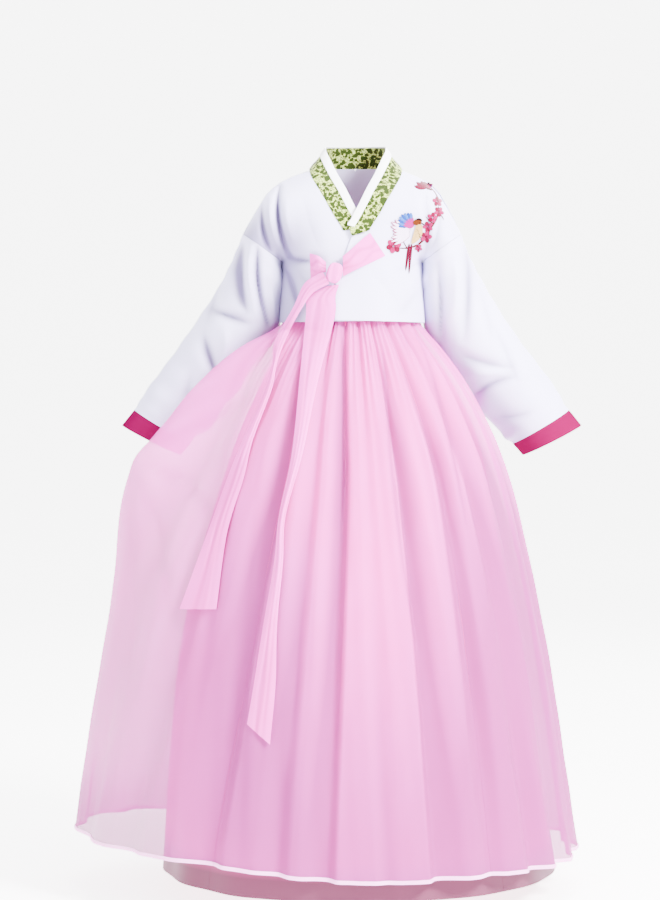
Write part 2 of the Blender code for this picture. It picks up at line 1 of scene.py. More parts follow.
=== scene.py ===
"""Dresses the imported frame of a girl's hanbok in its cloth: jacket, sleeves, collar, ribbon and skirt.

The front faces -Y, the wearer's left hand is on +X, and the origin is the middle of the neck, level with
the shoulders. Angles round the skirt are in degrees from +X, so 90 is the back and 270 the front.
"""

from __future__ import annotations

import logging
import math
from dataclasses import dataclass
from enum import Enum
from typing import Callable, NamedTuple, Sequence

import bpy  # noqa: E402
import numpy as np  # noqa: E402
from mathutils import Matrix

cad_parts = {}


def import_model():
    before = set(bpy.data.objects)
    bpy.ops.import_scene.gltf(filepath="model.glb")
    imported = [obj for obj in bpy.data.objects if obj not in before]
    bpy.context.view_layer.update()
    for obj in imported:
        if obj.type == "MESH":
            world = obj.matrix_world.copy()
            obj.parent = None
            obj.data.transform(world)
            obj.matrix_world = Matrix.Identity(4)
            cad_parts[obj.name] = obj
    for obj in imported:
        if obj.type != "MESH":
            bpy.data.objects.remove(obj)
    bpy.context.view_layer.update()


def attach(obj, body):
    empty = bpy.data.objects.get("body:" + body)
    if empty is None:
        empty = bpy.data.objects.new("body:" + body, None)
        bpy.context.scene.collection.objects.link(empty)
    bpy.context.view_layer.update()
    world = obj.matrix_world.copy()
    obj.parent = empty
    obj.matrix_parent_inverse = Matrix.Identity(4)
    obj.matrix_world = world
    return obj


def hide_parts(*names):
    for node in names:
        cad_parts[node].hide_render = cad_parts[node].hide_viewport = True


LOG = logging.getLogger("hanbok")
Array = np.ndarray
Shape = Callable[[Array, Array], Array]
Line = Callable[[Array], Array]
# Gives each point's painted shade, from 0 to 1, from its u, its v and its place.
PaintedShade = Callable[[Array, Array, Array], Array]
Color = tuple[float, float, float]
Socket = bpy.types.NodeSocket

ROOT = "root"
SEAM = 0.0003
NECK_MIDDLE_X = 0.005
THREAD_RELIEF = 0.0004
CLOUD = 9.0
WELD = 0.00002
USUAL_RADIUS = 0.25
VISIBLE_GAP = math.degrees(SEAM / 2 / USUAL_RADIUS)
HEM_ROLL = 0.0048


class Half(Enum):
    """Which half of the wearer a piece is on; the value is the sign of X."""

    LEFT = 1
    RIGHT = -1


class Hang(Enum):
    """How a sheet of cloth is held."""

    HUNG = "hung"
    GATHERED = "gathered"
    FOLDED = "folded"
    STRETCHED = "stretched"


# ---------------------------------------------------------------- tables of sections
class Figure(NamedTuple):
    """Half depth of the jacket at one height."""

    z: float
    front: float
    back: float


FIGURE = (
    Figure(-0.200, 0.080, 0.076),
    Figure(-0.150, 0.080, 0.077),
    Figure(-0.110, 0.079, 0.079),
    Figure(-0.070, 0.075, 0.080),
    Figure(-0.030, 0.064, 0.075),
    Figure(0.000, 0.051, 0.067),
    Figure(0.020, 0.043, 0.061),
)


class Point(NamedTuple):
    """A point seen from the front."""

    x: float
    z: float


RIDGE = (
    Point(0.0615, 0.010),
    Point(0.0830, 0.001),
    Point(0.0970, -0.006),
    Point(0.1080, -0.0145),
    Point(0.1165, -0.0235),
    Point(0.1275, -0.0425),
    Point(0.1370, -0.0595),
    Point(0.1455, -0.0750),
)
HEM_Z = -0.193
ARMPIT = Point(0.0935, -0.112)
HEM_CORNER = Point(0.097, HEM_Z)
OUTER_LINE = (HEM_CORNER, ARMPIT, RIDGE[-1])
TOP_LINE = (Point(-0.020, 0.075), Point(0.047, 0.034), *RIDGE, Point(0.166, -0.120))
SIDE_LINE = (Point(0.099, -0.300), HEM_CORNER, ARMPIT, Point(0.118, -0.150))
SHOULDER_ROUND = 0.050
SIDE_ROUND = 0.094
BOXY = 2.3
COLLAR_CUT = Point(-0.0010, -0.0810)


class SleeveRow(NamedTuple):
    """A section of the sleeve: its middle, its half sizes, and how its width leans from level."""

    x: float
    y: float
    z: float
    wide: float
    deep: float
    lean: float


SLEEVE = (
    SleeveRow(0.1195, 0.000, -0.0935, 0.0319, 0.056, 35.4),
    SleeveRow(0.1290, 0.008, -0.1310, 0.0372, 0.058, 30.7),
    SleeveRow(0.1465, 0.024, -0.1820, 0.0474, 0.056, 31.8),
    SleeveRow(0.1870, 0.042, -0.2445, 0.0491, 0.052, 31.3),
    SleeveRow(0.2280, 0.052, -0.2990, 0.0500, 0.048, 32.0),
    SleeveRow(0.2560, 0.052, -0.3330, 0.0443, 0.042, 31.0),
    SleeveRow(0.2710, 0.052, -0.3510, 0.0444, 0.040, 27.0),
)
CUFF_ROW = 5


class SkirtRow(NamedTuple):
    """A section of the skirt: half sizes of its crests, and the pull towards the held side."""

    z: float
    side: float
    front: float
    back: float
    pull: float
    spread: float
    angle: float


SKIRT = (
    SkirtRow(-0.120, 0.085, 0.069, 0.067, 0.000, 9, 188),
    SkirtRow(-0.193, 0.091, 0.074, 0.070, 0.002, 9, 194),
    SkirtRow(-0.225, 0.117, 0.092, 0.086, 0.036, 9, 193),
    SkirtRow(-0.270, 0.150, 0.116, 0.106, 0.054, 9, 191),
    SkirtRow(-0.340, 0.186, 0.150, 0.136, 0.078, 9, 188),
    SkirtRow(-0.380, 0.202, 0.166, 0.152, 0.092, 10, 188),
    SkirtRow(-0.430, 0.217, 0.181, 0.168, 0.090, 14, 187),
    SkirtRow(-0.520, 0.238, 0.205, 0.192, 0.076, 22, 185),
    SkirtRow(-0.640, 0.261, 0.231, 0.219, 0.069, 30, 183),
    SkirtRow(-0.760, 0.279, 0.254, 0.242, 0.070, 36, 181),
    SkirtRow(-0.890, 0.298, 0.276, 0.264, 0.068, 40, 180),
)
SKIRT_TOP_Z = -0.1203
SKIRT_HEM_Z = -0.886
HAND_ANGLE = 188
HAND_LIFT = 0.026
RECESS_ANGLE = 238


class LiningRow(NamedTuple):
    """A section of the skirt's lining, which is not held out."""

    z: float
    left: float
    right: float
    front: float
    back: float


LINING = (
    LiningRow(-0.120, 0.081, 0.081, 0.0650, 0.063),
    LiningRow(-0.193, 0.0815, 0.0815, 0.0645, 0.0605),
    LiningRow(-0.270, 0.131, 0.119, 0.0985, 0.0885),
    LiningRow(-0.340, 0.164, 0.150, 0.1310, 0.117),
    LiningRow(-0.430, 0.185, 0.180, 0.1630, 0.150),
    LiningRow(-0.520, 0.203, 0.206, 0.1870, 0.174),
    LiningRow(-0.640, 0.229, 0.230, 0.2130, 0.200),
    LiningRow(-0.760, 0.247, 0.241, 0.2350, 0.222),
    LiningRow(-0.915, 0.268, 0.250, 0.2580, 0.246),
)
LINING_HEM_Z = -0.910


class Middle(NamedTuple):
    """Where the skirt's middle is at one height."""

    z: float
    y: float


SKIRT_MIDDLE = (
    Middle(-0.120, 0.000),
    Middle(-0.193, -0.001),
    Middle(-0.225, -0.012),
    Middle(-0.340, -0.020),
    Middle(-0.915, -0.012),
)


class Fold(NamedTuple):
    """A trough that runs down the skirt; widths in degrees, depths in metres."""

    top: float
    middle: float
    hem: float
    left: float
    right: float
    deep_top: float
    deep_middle: float
    deep_hem: float


FOLDS = (
    Fold(4, 4, 5, 6, 10, 0.005, 0.011, 0.014),
    Fold(22, 21, 21, 5, 9, 0.006, 0.010, 0.012),
    Fold(39, 38, 39, 6, 9, 0.005, 0.012, 0.016),
    Fold(56, 56, 56, 6, 8, 0.006, 0.009, 0.011),
    Fold(72, 72, 72, 6, 8, 0.005, 0.012, 0.015),
    Fold(108, 108, 108, 8, 6, 0.006, 0.012, 0.015),
    Fold(124, 125, 126, 8, 6, 0.005, 0.010, 0.012),
    Fold(141, 141, 143, 9, 6, 0.006, 0.011, 0.014),
    Fold(157, 158, 160, 8, 5, 0.005, 0.009, 0.013),
    Fold(176, 176, 177, 7, 6, 0.002, 0.004, 0.008),
    Fold(202, 200, 193, 7, 7, 0.003, 0.006, 0.009),
    Fold(219, 218, 210, 8, 6, 0.004, 0.008, 0.010),
    Fold(236, 239, 233, 10, 4, 0.006, 0.013, 0.010),
    Fold(250, 253, 250, 6, 4, 0.005, 0.005, 0.007),
    Fold(263, 266, 263, 8, 3, 0.007, 0.014, 0.009),
    Fold(276, 276, 279, 4, 4, 0.006, 0.004, 0.003),
    Fold(290, 291, 292, 3, 9, 0.006, 0.013, 0.010),
    Fold(307, 309, 308, 6, 4, 0.006, 0.012, 0.009),
    Fold(320, 321, 322, 5, 6, 0.006, 0.007, 0.010),
    Fold(335, 335, 335, 6, 5, 0.005, 0.010, 0.010),
    Fold(349, 349, 349, 5, 5, 0.005, 0.008, 0.012),
)
FOLD_HEIGHTS = (-0.860, -0.380, -0.200)


class CollarRow(NamedTuple):
    """A section of the collar on the wearer's left, from the nape to the front."""

    low_x: float
    low_z: float
    top_x: float
    top_y: float
    top_z: float


COLLAR = (
    CollarRow(0.0050, 0.0160, 0.0050, 0.0520, 0.0440),
    CollarRow(0.0290, 0.0158, 0.0220, 0.0480, 0.0435),
    CollarRow(0.0490, 0.0140, 0.0370, 0.0330, 0.0420),
    CollarRow(0.0615, 0.0120, 0.0440, 0.0130, 0.0400),
    CollarRow(0.0665, 0.0100, 0.0445, -0.0080, 0.0350),
    CollarRow(0.0630, -0.0020, 0.0390, -0.0260, 0.0200),
    CollarRow(0.0560, -0.0150, 0.0310, -0.0430, 0.0010),
    CollarRow(0.0455, -0.0330, 0.0205, -0.0600, -0.0180),
    CollarRow(0.0350, -0.0520, 0.0100, -0.0700, -0.0390),
    CollarRow(0.0240, -0.0690, 0.0000, -0.0755, -0.0580),
    CollarRow(0.0210, -0.0735, -0.0050, -0.0775, -0.0665),
    CollarRow(0.0002, -0.0806, -0.0016, -0.0790, -0.0790),
)
FRONT_ROW = 4
COLLAR_END = 10


class RibbonRow(NamedTuple):
    """A section of the ribbon: its two edges from the front, and how far its middle stands out."""

    left_x: float
    left_z: float
    right_x: float
    right_z: float
    stand: float
    curl: float


# ---------------------------------------------------------------- curves and surfaces
def smooth(t: Array | float) -> Array:
    """The soft step from 0 to 1."""
    t = np.clip(t, 0.0, 1.0)
    return t * t * (3 - 2 * t)


def roll(t: Array) -> Array:
    """The round profile of a cloth that turns away over an edge, from 0 at the edge to 1."""
    t = np.clip(t, 0.0, 1.0)
    return (1 - (1 - t) ** BOXY) ** (1 / BOXY)


def read(rows: Sequence[tuple], column: int, at: Array, key: int = 0) -> Array:
    """Reads one column of a table along a smooth curve through its rows.

    Args:
        rows: The table's rows.
        column: Which column to read.
        at: Where to read it.
        key: The column that places the rows.

    Returns:
        The column's values.
    """
    order = sorted(rows, key=lambda row: row[key])
    xs = np.array([row[key] for row in order], float)
    ys = np.array([row[column] for row in order], float)
    steps = np.diff(ys) / np.diff(xs)
    slopes = np.concatenate([[steps[0]], (steps[1:] + steps[:-1]) / 2, [steps[-1]]])
    same = np.concatenate([[1], np.sign(steps[1:] * steps[:-1]), [1]])
    slopes = np.where(same > 0, slopes, 0.0)
    at = np.clip(np.asarray(at, float), xs[0], xs[-1])
    low = np.clip(np.searchsorted(xs, at, side="right") - 1, 0, len(xs) - 2)
    run = xs[low + 1] - xs[low]
    t = (at - xs[low]) / run
    a = (1 + 2 * t) * (1 - t) ** 2
    b = t * (1 - t) ** 2
    c = (t - 1) * t * t
    return a * ys[low] + (1 - a) * ys[low + 1] + run * (b * slopes[low] + c * slopes[low + 1])


def numbered(rows: Sequence[tuple]) -> list[tuple]:
    """A table's rows, each with its number in front."""
    return [(k, *row) for k, row in enumerate(rows)]


def distance(x: Array, z: Array, line: Sequence[Point]) -> Array:
    """How far each (x, z) is from a line of points."""
    best = np.full(np.shape(x), 1e9)
    for (x0, z0), (x1, z1) in zip(line, line[1:]):
        dx, dz = x1 - x0, z1 - z0
        t = np.clip(((x - x0) * dx + (z - z0) * dz) / (dx * dx + dz * dz), 0, 1)
        best = np.minimum(best, np.hypot(x - x0 - t * dx, z - z0 - t * dz))
    return best


def along(line: Sequence[tuple], t: Array) -> list[Array]:
    """The points at shares t of a line's length, as one array for each coordinate."""
    points = np.array(line, float)
    run = np.concatenate([[0.0], np.cumsum(np.linalg.norm(np.diff(points, axis=0), axis=1))])
    return [np.interp(t * run[-1], run, points[:, i]) for i in range(points.shape[1])]


def across(x: Array) -> Array:
    """Distance from the neck's middle, which shifts back to the body's middle at the arm."""
    return np.abs(x - NECK_MIDDLE_X * smooth((0.120 - np.abs(x)) / 0.050))


def trunk(x: Array, z: Array, sign: Array | float) -> Array:
    """The jacket's y at (x, z); sign is -1 in front and 1 behind."""
    x, z = np.asarray(x, float), np.asarray(z, float)
    depth = np.where(np.asarray(sign) < 0, read(FIGURE, 1, z), read(FIGURE, 2, z))
    top = distance(across(x), z, TOP_LINE) / SHOULDER_ROUND
    return sign * depth * roll(top) * roll(distance(np.abs(x), z, SIDE_LINE) / SIDE_ROUND)


def over(x: Array, z: Array) -> Array:
    """How far the left front is lifted, where it lies on the right one."""
    return 0.0028 * smooth((0.075 - x) / 0.040) * smooth((0.030 - z) / 0.035)


def oval(turn: Array, side: Array, front: Array, back: Array) -> Array:
    """Distance from the middle to a rounded box's edge, in the direction of an angle."""
    c, s = np.cos(turn), np.sin(turn)
    deep = np.where(s > 0, back, front)
    return (np.abs(c / side) ** 2.15 + np.abs(s / deep) ** 2.15) ** (-1 / 2.15)


def apart(degrees: Array, at: Array) -> Array:
    """The signed angle from one direction to another."""
    return (degrees - at + 180) % 360 - 180


def crest_radius(degrees: Array, z: Array) -> Array:
    """The skirt's surface from its middle, folds apart."""
    size = [read(SKIRT, column, z) for column in range(1, 7)]
    off = apart(degrees, size[5])
    return oval(np.radians(degrees), *size[:3]) + size[3] * np.exp(-((off / size[4]) ** 2))


def ripple(degrees: Array, z: Array) -> Array:
    """Fine gathers below the jacket's hem, and slow uneven waves lower down, as inward depth."""
    turn = np.radians(degrees)
    near = smooth((z + 0.36) / 0.14)
    fine = 0.5 + 0.5 * np.sin(61 * turn + 1.7 * np.sin(9 * turn) + 6 * z)
    fine *= 0.6 + 0.4 * np.sin(13 * turn + 0.8)
    slow = np.sin(23 * turn + 2.2 * np.sin(3 * turn) + 5.0 * z) + 0.6 * np.sin(37 * turn - 7 * z)
    return 0.0022 * near * fine + 0.0006 * (1 - near) * slow * smooth((-0.20 - z) / 0.3)


def fold_depth(degrees: Array, z: Array) -> Array:
    """How deep the skirt's main folds are at each place."""
    depth = np.zeros(np.shape(degrees))
    for fold in FOLDS:
        at = np.interp(z, FOLD_HEIGHTS, (fold.hem, fold.middle, fold.top))
        deep = np.interp(z, FOLD_HEIGHTS, (fold.deep_hem, fold.deep_middle, fold.deep_top))
        off = apart(degrees, at)
        depth += 1.18 * deep * (1 - smooth(np.abs(off) / np.where(off > 0, fold.right, fold.left)))
    return depth


def skirt_radius(degrees: Array, z: Array) -> Array:
    """The organza's surface from the skirt's middle."""
    squeezed = smooth((-0.110 - z) / 0.070)
    return crest_radius(degrees, z) - squeezed * (fold_depth(degrees, z) + ripple(degrees, z))


def skirt_middle(z: Array) -> Array:
    """Where the skirt's middle is."""
    return np.interp(z, [row.z for row in SKIRT_MIDDLE[::-1]], [row.y for row in SKIRT_MIDDLE[::-1]])


def hem_lift(degrees: Array, z: Array) -> Array:
    """How much a point of the skirt rises towards the hand that holds it."""
    share = smooth((-0.30 - z) / 0.60)
    bell = np.exp(-((apart(degrees, HAND_ANGLE) / 60) ** 2))
    return share * (HAND_LIFT * bell + 0.002 * np.sin(np.radians(5 * degrees)))


def skirt_front(x: Array, z: Array) -> Array:
    """How far forward the skirt's crests stand at (x, z)."""
    x, z = np.broadcast_arrays(np.asarray(x, float), np.asarray(z, float))
    degrees = np.arange(180.0, 361.0)
    best = np.zeros(x.size)
    for k, (px, pz) in enumerate(zip(x.ravel(), z.ravel())):
        radius = crest_radius(degrees, np.full(degrees.shape, pz))
        xs = radius * np.cos(np.radians(degrees))
        ys = skirt_middle(pz) + radius * np.sin(np.radians(degrees))
        low, high = np.minimum(xs[:-1], xs[1:]), np.maximum(xs[:-1], xs[1:])
        hit = (low <= px) & (px <= high)
        share = (px - xs[:-1]) / np.where(np.abs(np.diff(xs)) < 1e-9, 1e-9, np.diff(xs))
        found = (ys[:-1] + np.diff(ys) * share)[hit]
        best[k] = found.min() if found.size else 0.0
    return best.reshape(x.shape)


class Crease(NamedTuple):
    """A trough pressed into cloth along a bent line, seen from the front; a minus depth is a ridge."""

    x0: float
    z0: float
    x1: float
    z1: float
    x2: float
    z2: float
    wide: float
    deep: float


def pressed(x: Array, z: Array, creases: Sequence[Crease]) -> Array:
    """The inward depth of all creases at each (x, z)."""
    total = np.zeros(np.shape(x))
    t = np.linspace(0, 1, 9)
    for crease in creases:
        px = (1 - t) ** 2 * crease.x0 + 2 * t * (1 - t) * crease.x1 + t * t * crease.x2
        pz = (1 - t) ** 2 * crease.z0 + 2 * t * (1 - t) * crease.z1 + t * t * crease.z2
        near = np.full(np.shape(x), 1e9)
        share = np.zeros(np.shape(x))
        for k in range(len(t) - 1):
            dx, dz = px[k + 1] - px[k], pz[k + 1] - pz[k]
            s = np.clip(((x - px[k]) * dx + (z - pz[k]) * dz) / (dx * dx + dz * dz), 0, 1)
            gap = np.hypot(x - px[k] - s * dx, z - pz[k] - s * dz)
            share = np.where(gap < near, (k + s) / (len(t) - 1), share)
            near = np.minimum(near, gap)
        ends = np.sin(np.pi * np.clip(share * 0.86 + 0.07, 0, 1)) ** 0.7
        valley = 0.6 * np.exp(-((near / crease.wide) ** 2)) + 0.4 * np.exp(-near / (0.33 * crease.wide))
        total += crease.deep * ends * valley
    return total


# ---------------------------------------------------------------- Blender's meshes and nodes
def values(items: bpy.types.bpy_prop_collection, key: str, size: int) -> Array:
    """Reads one vector of each item.

    Args:
        items: A mesh's vertices, faces or UV points.
        key: The vector's name.
        size: How many numbers it has.

    Returns:
        A row for each item.
    """
    found = np.empty(len(items) * size, np.float32)
    items.foreach_get(key, found)
    return found.reshape(-1, size).astype(float)


def put(items: bpy.types.bpy_prop_collection, key: str, rows: Array) -> None:
    """Writes one vector of each item, from a row for each."""
    items.foreach_set(key, rows.astype(np.float32).ravel())


def deselect() -> None:
    """Leaves nothing selected."""
    for item in bpy.context.selected_objects:
        item.select_set(False)


def grid(name: str, columns: int, rows: int) -> tuple[bpy.types.Object, Array, Array]:
    """Adds a flat grid.

    Args:
        name: The piece's name.
        columns: Faces across.
        rows: Faces along.

    Returns:
        The piece, and each point's u and v from 0 to 1.
    """
    deselect()
    bpy.ops.mesh.primitive_grid_add(x_subdivisions=columns, y_subdivisions=rows, size=1.0)
    piece = bpy.context.active_object
    piece.name = piece.data.name = name
    u, v = np.clip(values(piece.data.vertices, "co", 3)[:, :2].T + 0.5, 0, 1)
    return piece, u, v


def scale_uv(mesh: bpy.types.Mesh, size: tuple[float, float]) -> None:
    """Sets the UV map in metres of the flat cut, so that the thread has its real size."""
    layer = mesh.uv_layers.active
    put(layer.uv, "vector", values(layer.uv, "vector", 2) * np.array(size))


def edit(piece: bpy.types.Object, work: Callable[[], object]) -> None:
    """Runs one operator on all of a piece in edit mode."""
    deselect()
    piece.select_set(True)
    bpy.context.view_layer.objects.active = piece
    bpy.ops.object.mode_set(mode="EDIT")
    bpy.ops.mesh.select_all(action="SELECT")
    work()
    bpy.ops.object.mode_set(mode="OBJECT")


def dress(piece: bpy.types.Object, finish: Finish, nodes: Sequence[str]) -> None:
    """Gives a piece its finish and puts it on the frame.

    Args:
        piece: The finished mesh.
        finish: Its finish.
        nodes: The solids it stands for.
    """
    piece.data.materials.clear()
    piece.data.materials.append(finish.make())
    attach(piece, ROOT)
    if nodes:
        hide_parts(*nodes)
    LOG.info("%s: %d faces", piece.name, len(piece.data.polygons))


def node(tree: bpy.types.NodeTree, kind: str, sockets: dict, **settings: object) -> bpy.types.Node:
    """Adds a shader node.

    Args:
        tree: The material's tree.
        kind: The node's type, without its prefix.
        sockets: A value, or a socket to link, for each input's name or number.
        settings: The node's own values.

    Returns:
        The node.
    """
    made = tree.nodes.new("ShaderNode" + kind)
    for key, value in settings.items():
        setattr(made, key, value)
    fill(tree, made, sockets)
    return made


def fill(tree: bpy.types.NodeTree, made: bpy.types.Node, sockets: dict) -> None:
    """Sets or links a node's inputs."""
    for key, value in sockets.items():
        if isinstance(value, bpy.types.NodeSocket):
            tree.links.new(value, made.inputs[key])
        else:
            made.inputs[key].default_value = value


def ramp(tree: bpy.types.NodeTree, source: Socket, *stops: tuple[float, Color]) -> Socket:
    """A colour that runs from one stop on a scale to another."""
    made = node(tree, "ValToRGB", {"Fac": source})
    for element, (position, color) in zip(made.color_ramp.elements, stops):
        element.position = position
        element.color = (*color, 1)
    return made.outputs["Color"]


def bump(tree: bpy.types.NodeTree, height: Socket, strength: float) -> Socket:
    """A bump a fraction of a millimetre high."""
    sockets = {"Strength": strength, "Distance": THREAD_RELIEF, "Height": height}
    return node(tree, "Bump", sockets).outputs["Normal"]


# ---------------------------------------------------------------- finishes


@dataclass(frozen=True)
class Finish:
    """A cloth's finish: its colour and how it varies, its thread, and how it takes the light.

    Attributes:
        name: The material's name.
        color: Base colour.
        shade: The colour of its clouded patches.
        roughness: Roughness of the surface.
        sheen: Strength of the soft nap.
        thread: Threads in a metre.
        relief: Height of the thread's bump.
        alpha: Opacity of one face of the cloth.
        deep: The painted shade colour, reached where the painted shade is 1, as in troughs and creases.
        gloss: Strength of the mirror-like part of the surface.
        dense: Opacity of one face where the painted shade is 1, as folds lie double in troughs; it rises with
            the painted shade wherever that is painted.
    """

    name: str
    color: Color
    shade: Color
    roughness: float = 0.6
    sheen: float = 0.2
    thread: float = 900.0
    relief: float = 0.15
    alpha: float = 1.0
    deep: Color | None = None
    gloss: float = 0.2
    dense: float | None = None

    def make(self) -> bpy.types.Material:
        """Builds the material once and gives it back each time."""
        if self.name in bpy.data.materials:
            return bpy.data.materials[self.name]
        made = bpy.data.materials.new(self.name)
        made.use_nodes = True
        tree = made.node_tree
        sockets = {
            "Roughness": self.roughness,
            "Sheen Weight": self.sheen,
            "Sheen Roughness": 0.4,
            "Sheen Tint": (*self.color, 1),
            "Specular IOR Level": self.gloss,
            "Specular Tint": (*self.color, 1),
            "Alpha": self.alpha,
            "Base Color": self.colour(tree),
            "Normal": self.weave(tree),
        }
        # Mixes the base colour towards the painted shade colour by each point's painted shade attribute, and
        # raises the opacity with it.
        if self.deep is not None:
            painted_shade = node(tree, "Attribute", {}, attribute_name="painted_shade").outputs["Fac"]
            ends = {"Factor": painted_shade, "A": sockets["Base Color"], "B": (*self.deep, 1)}
            sockets["Base Color"] = node(tree, "Mix", ends, data_type="RGBA").outputs["Result"]
            if self.dense is not None:
                cover = {"Factor": painted_shade, "A": self.alpha, "B": self.dense}
                sockets["Alpha"] = node(tree, "Mix", cover).outputs["Result"]
        fill(tree, tree.nodes["Principled BSDF"], sockets)
        return made

    def colour(self, tree: bpy.types.NodeTree) -> Socket:
        """The clouded base colour."""
        place = node(tree, "TexCoord", {}).outputs["Object"]
        noise = node(tree, "TexNoise", {"Scale": CLOUD, "Detail": 4.0, "Vector": place})
        return ramp(tree, noise.outputs["Fac"], (0.35, self.shade), (0.62, self.color))

    def weave(self, tree: bpy.types.NodeTree) -> Socket:
        """Warp and weft as two crossed waves, with slubs, turned into a bump."""
        place = node(tree, "TexCoord", {})
        wave = {"Scale": self.thread / 20, "Distortion": 0.6, "Detail": 1.0, "Vector": place.outputs["UV"]}
        warp, weft = (
            node(tree, "TexWave", wave, bands_direction=direction).outputs["Fac"] for direction in ("X", "Y")
        )
        cloth = node(tree, "Math", {0: warp, 1: weft}, operation="MULTIPLY").outputs["Value"]
        slub = node(tree, "TexNoise", {"Scale": 70.0, "Detail": 5.0, "Vector": place.outputs["Object"]})
        total = node(tree, "Math", {0: cloth, 1: slub.outputs["Fac"]}, operation="ADD")
        return bump(tree, total.outputs["Value"], self.relief)


@dataclass(frozen=True)
class Brocade(Finish):
    """The collar's cloth: olive leaves and curls on a pale green ground.

    Attributes:
        leaf: Colour of the leaves.
        curl: Colour of the thin curls between them.
    """

    leaf: Color = (0.018, 0.031, 0.006)
    curl: Color = (0.075, 0.105, 0.022)

    def colour(self, tree: bpy.types.NodeTree) -> Socket:
        """Leaf shapes from bent cells, and curls from thin lines between other cells."""
        place = node(tree, "TexCoord", {}).outputs["Object"]
        bend = node(tree, "TexNoise", {"Scale": 110.0, "Vector": place}).outputs["Color"]
        mixed = node(tree, "Mix", {"Factor": 0.010, "A": place, "B": bend}, data_type="VECTOR")
        bent = mixed.outputs["Result"]
        ground: Socket | tuple = (*self.color, 1)
        for scale, feature, start, end, color in (
            (270.0, "DISTANCE_TO_EDGE", 0.048, 0.130, self.curl),
            (175.0, "F1", 0.500, 0.560, self.leaf),
        ):
            cell = node(tree, "TexVoronoi", {"Scale": scale, "Vector": bent}, feature=feature)
            share = ramp(tree, cell.outputs["Distance"], (start, (1, 1, 1)), (end, (0, 0, 0)))
            layer = {"Factor": share, "A": ground, "B": (*color, 1)}
            ground = node(tree, "Mix", layer, data_type="RGBA").outputs["Result"]
        return ground


# The last colour is the painted shade colour of the jacket and sleeves, for their creases and shaded sides.
WHITE_SATIN = Finish(
    "white_satin", (0.72, 0.69, 0.98), (0.66, 0.63, 0.93), 0.48, 0.05, 1400, 0.12, deep=(0.14, 0.11, 0.23)
)
ORGANZA = Finish(
    "pink_organza",
    (0.93, 0.135, 0.69),
    (0.89, 0.116, 0.63),
    0.60,
    0.08,
    1100,
    0.20,
    alpha=0.40,
    # Painted shade colour for the troughs, pleats, lower skirt and sides, where the opacity also rises to
    # 0.60.
    deep=(0.38, 0.054, 0.27),
    dense=0.60,
)
LINING_SATIN = Finish(
    "pink_lining",
    (0.90, 0.036, 0.39),
    (0.85, 0.029, 0.35),
    0.50,
    0.05,
    1600,
    0.08,
    # Painted shade colour for the lining below the skirt's hem.
    deep=(0.105, 0.034, 0.060),
)
BAND_COTTON = Finish("band_cotton", (0.70, 0.18, 0.42), (0.66, 0.16, 0.38), 0.7, 0.1)
# The last colour is the ribbon's painted shade colour, for its folds and near the knot.
RIBBON = Finish(
    "ribbon_gauze", (0.90, 0.11, 0.62), (0.86, 0.095, 0.56), 0.55, 0.08, 1300, 0.12, 0.93, (0.46, 0.035, 0.24)
)
HOT_PINK = Finish("hot_pink_satin", (0.125, 0.0, 0.038), (0.115, 0.0, 0.034), 0.6, 0.0, 1300, 0.08, gloss=0.0)
EDGING = Finish("edging_cotton", (0.93, 0.93, 0.97), (0.89, 0.89, 0.94), 0.65, 0.05, 1500, 0.08)
ROLLED_HEM = Finish("rolled_hem", (0.93, 0.40, 0.80), (0.88, 0.36, 0.74), 0.6, 0.1, 1500, 0.15)
BROCADE = Brocade("green_brocade", (0.46, 0.56, 0.14), (0.40, 0.49, 0.12), 0.6, 0.03, 1500, 0.25)


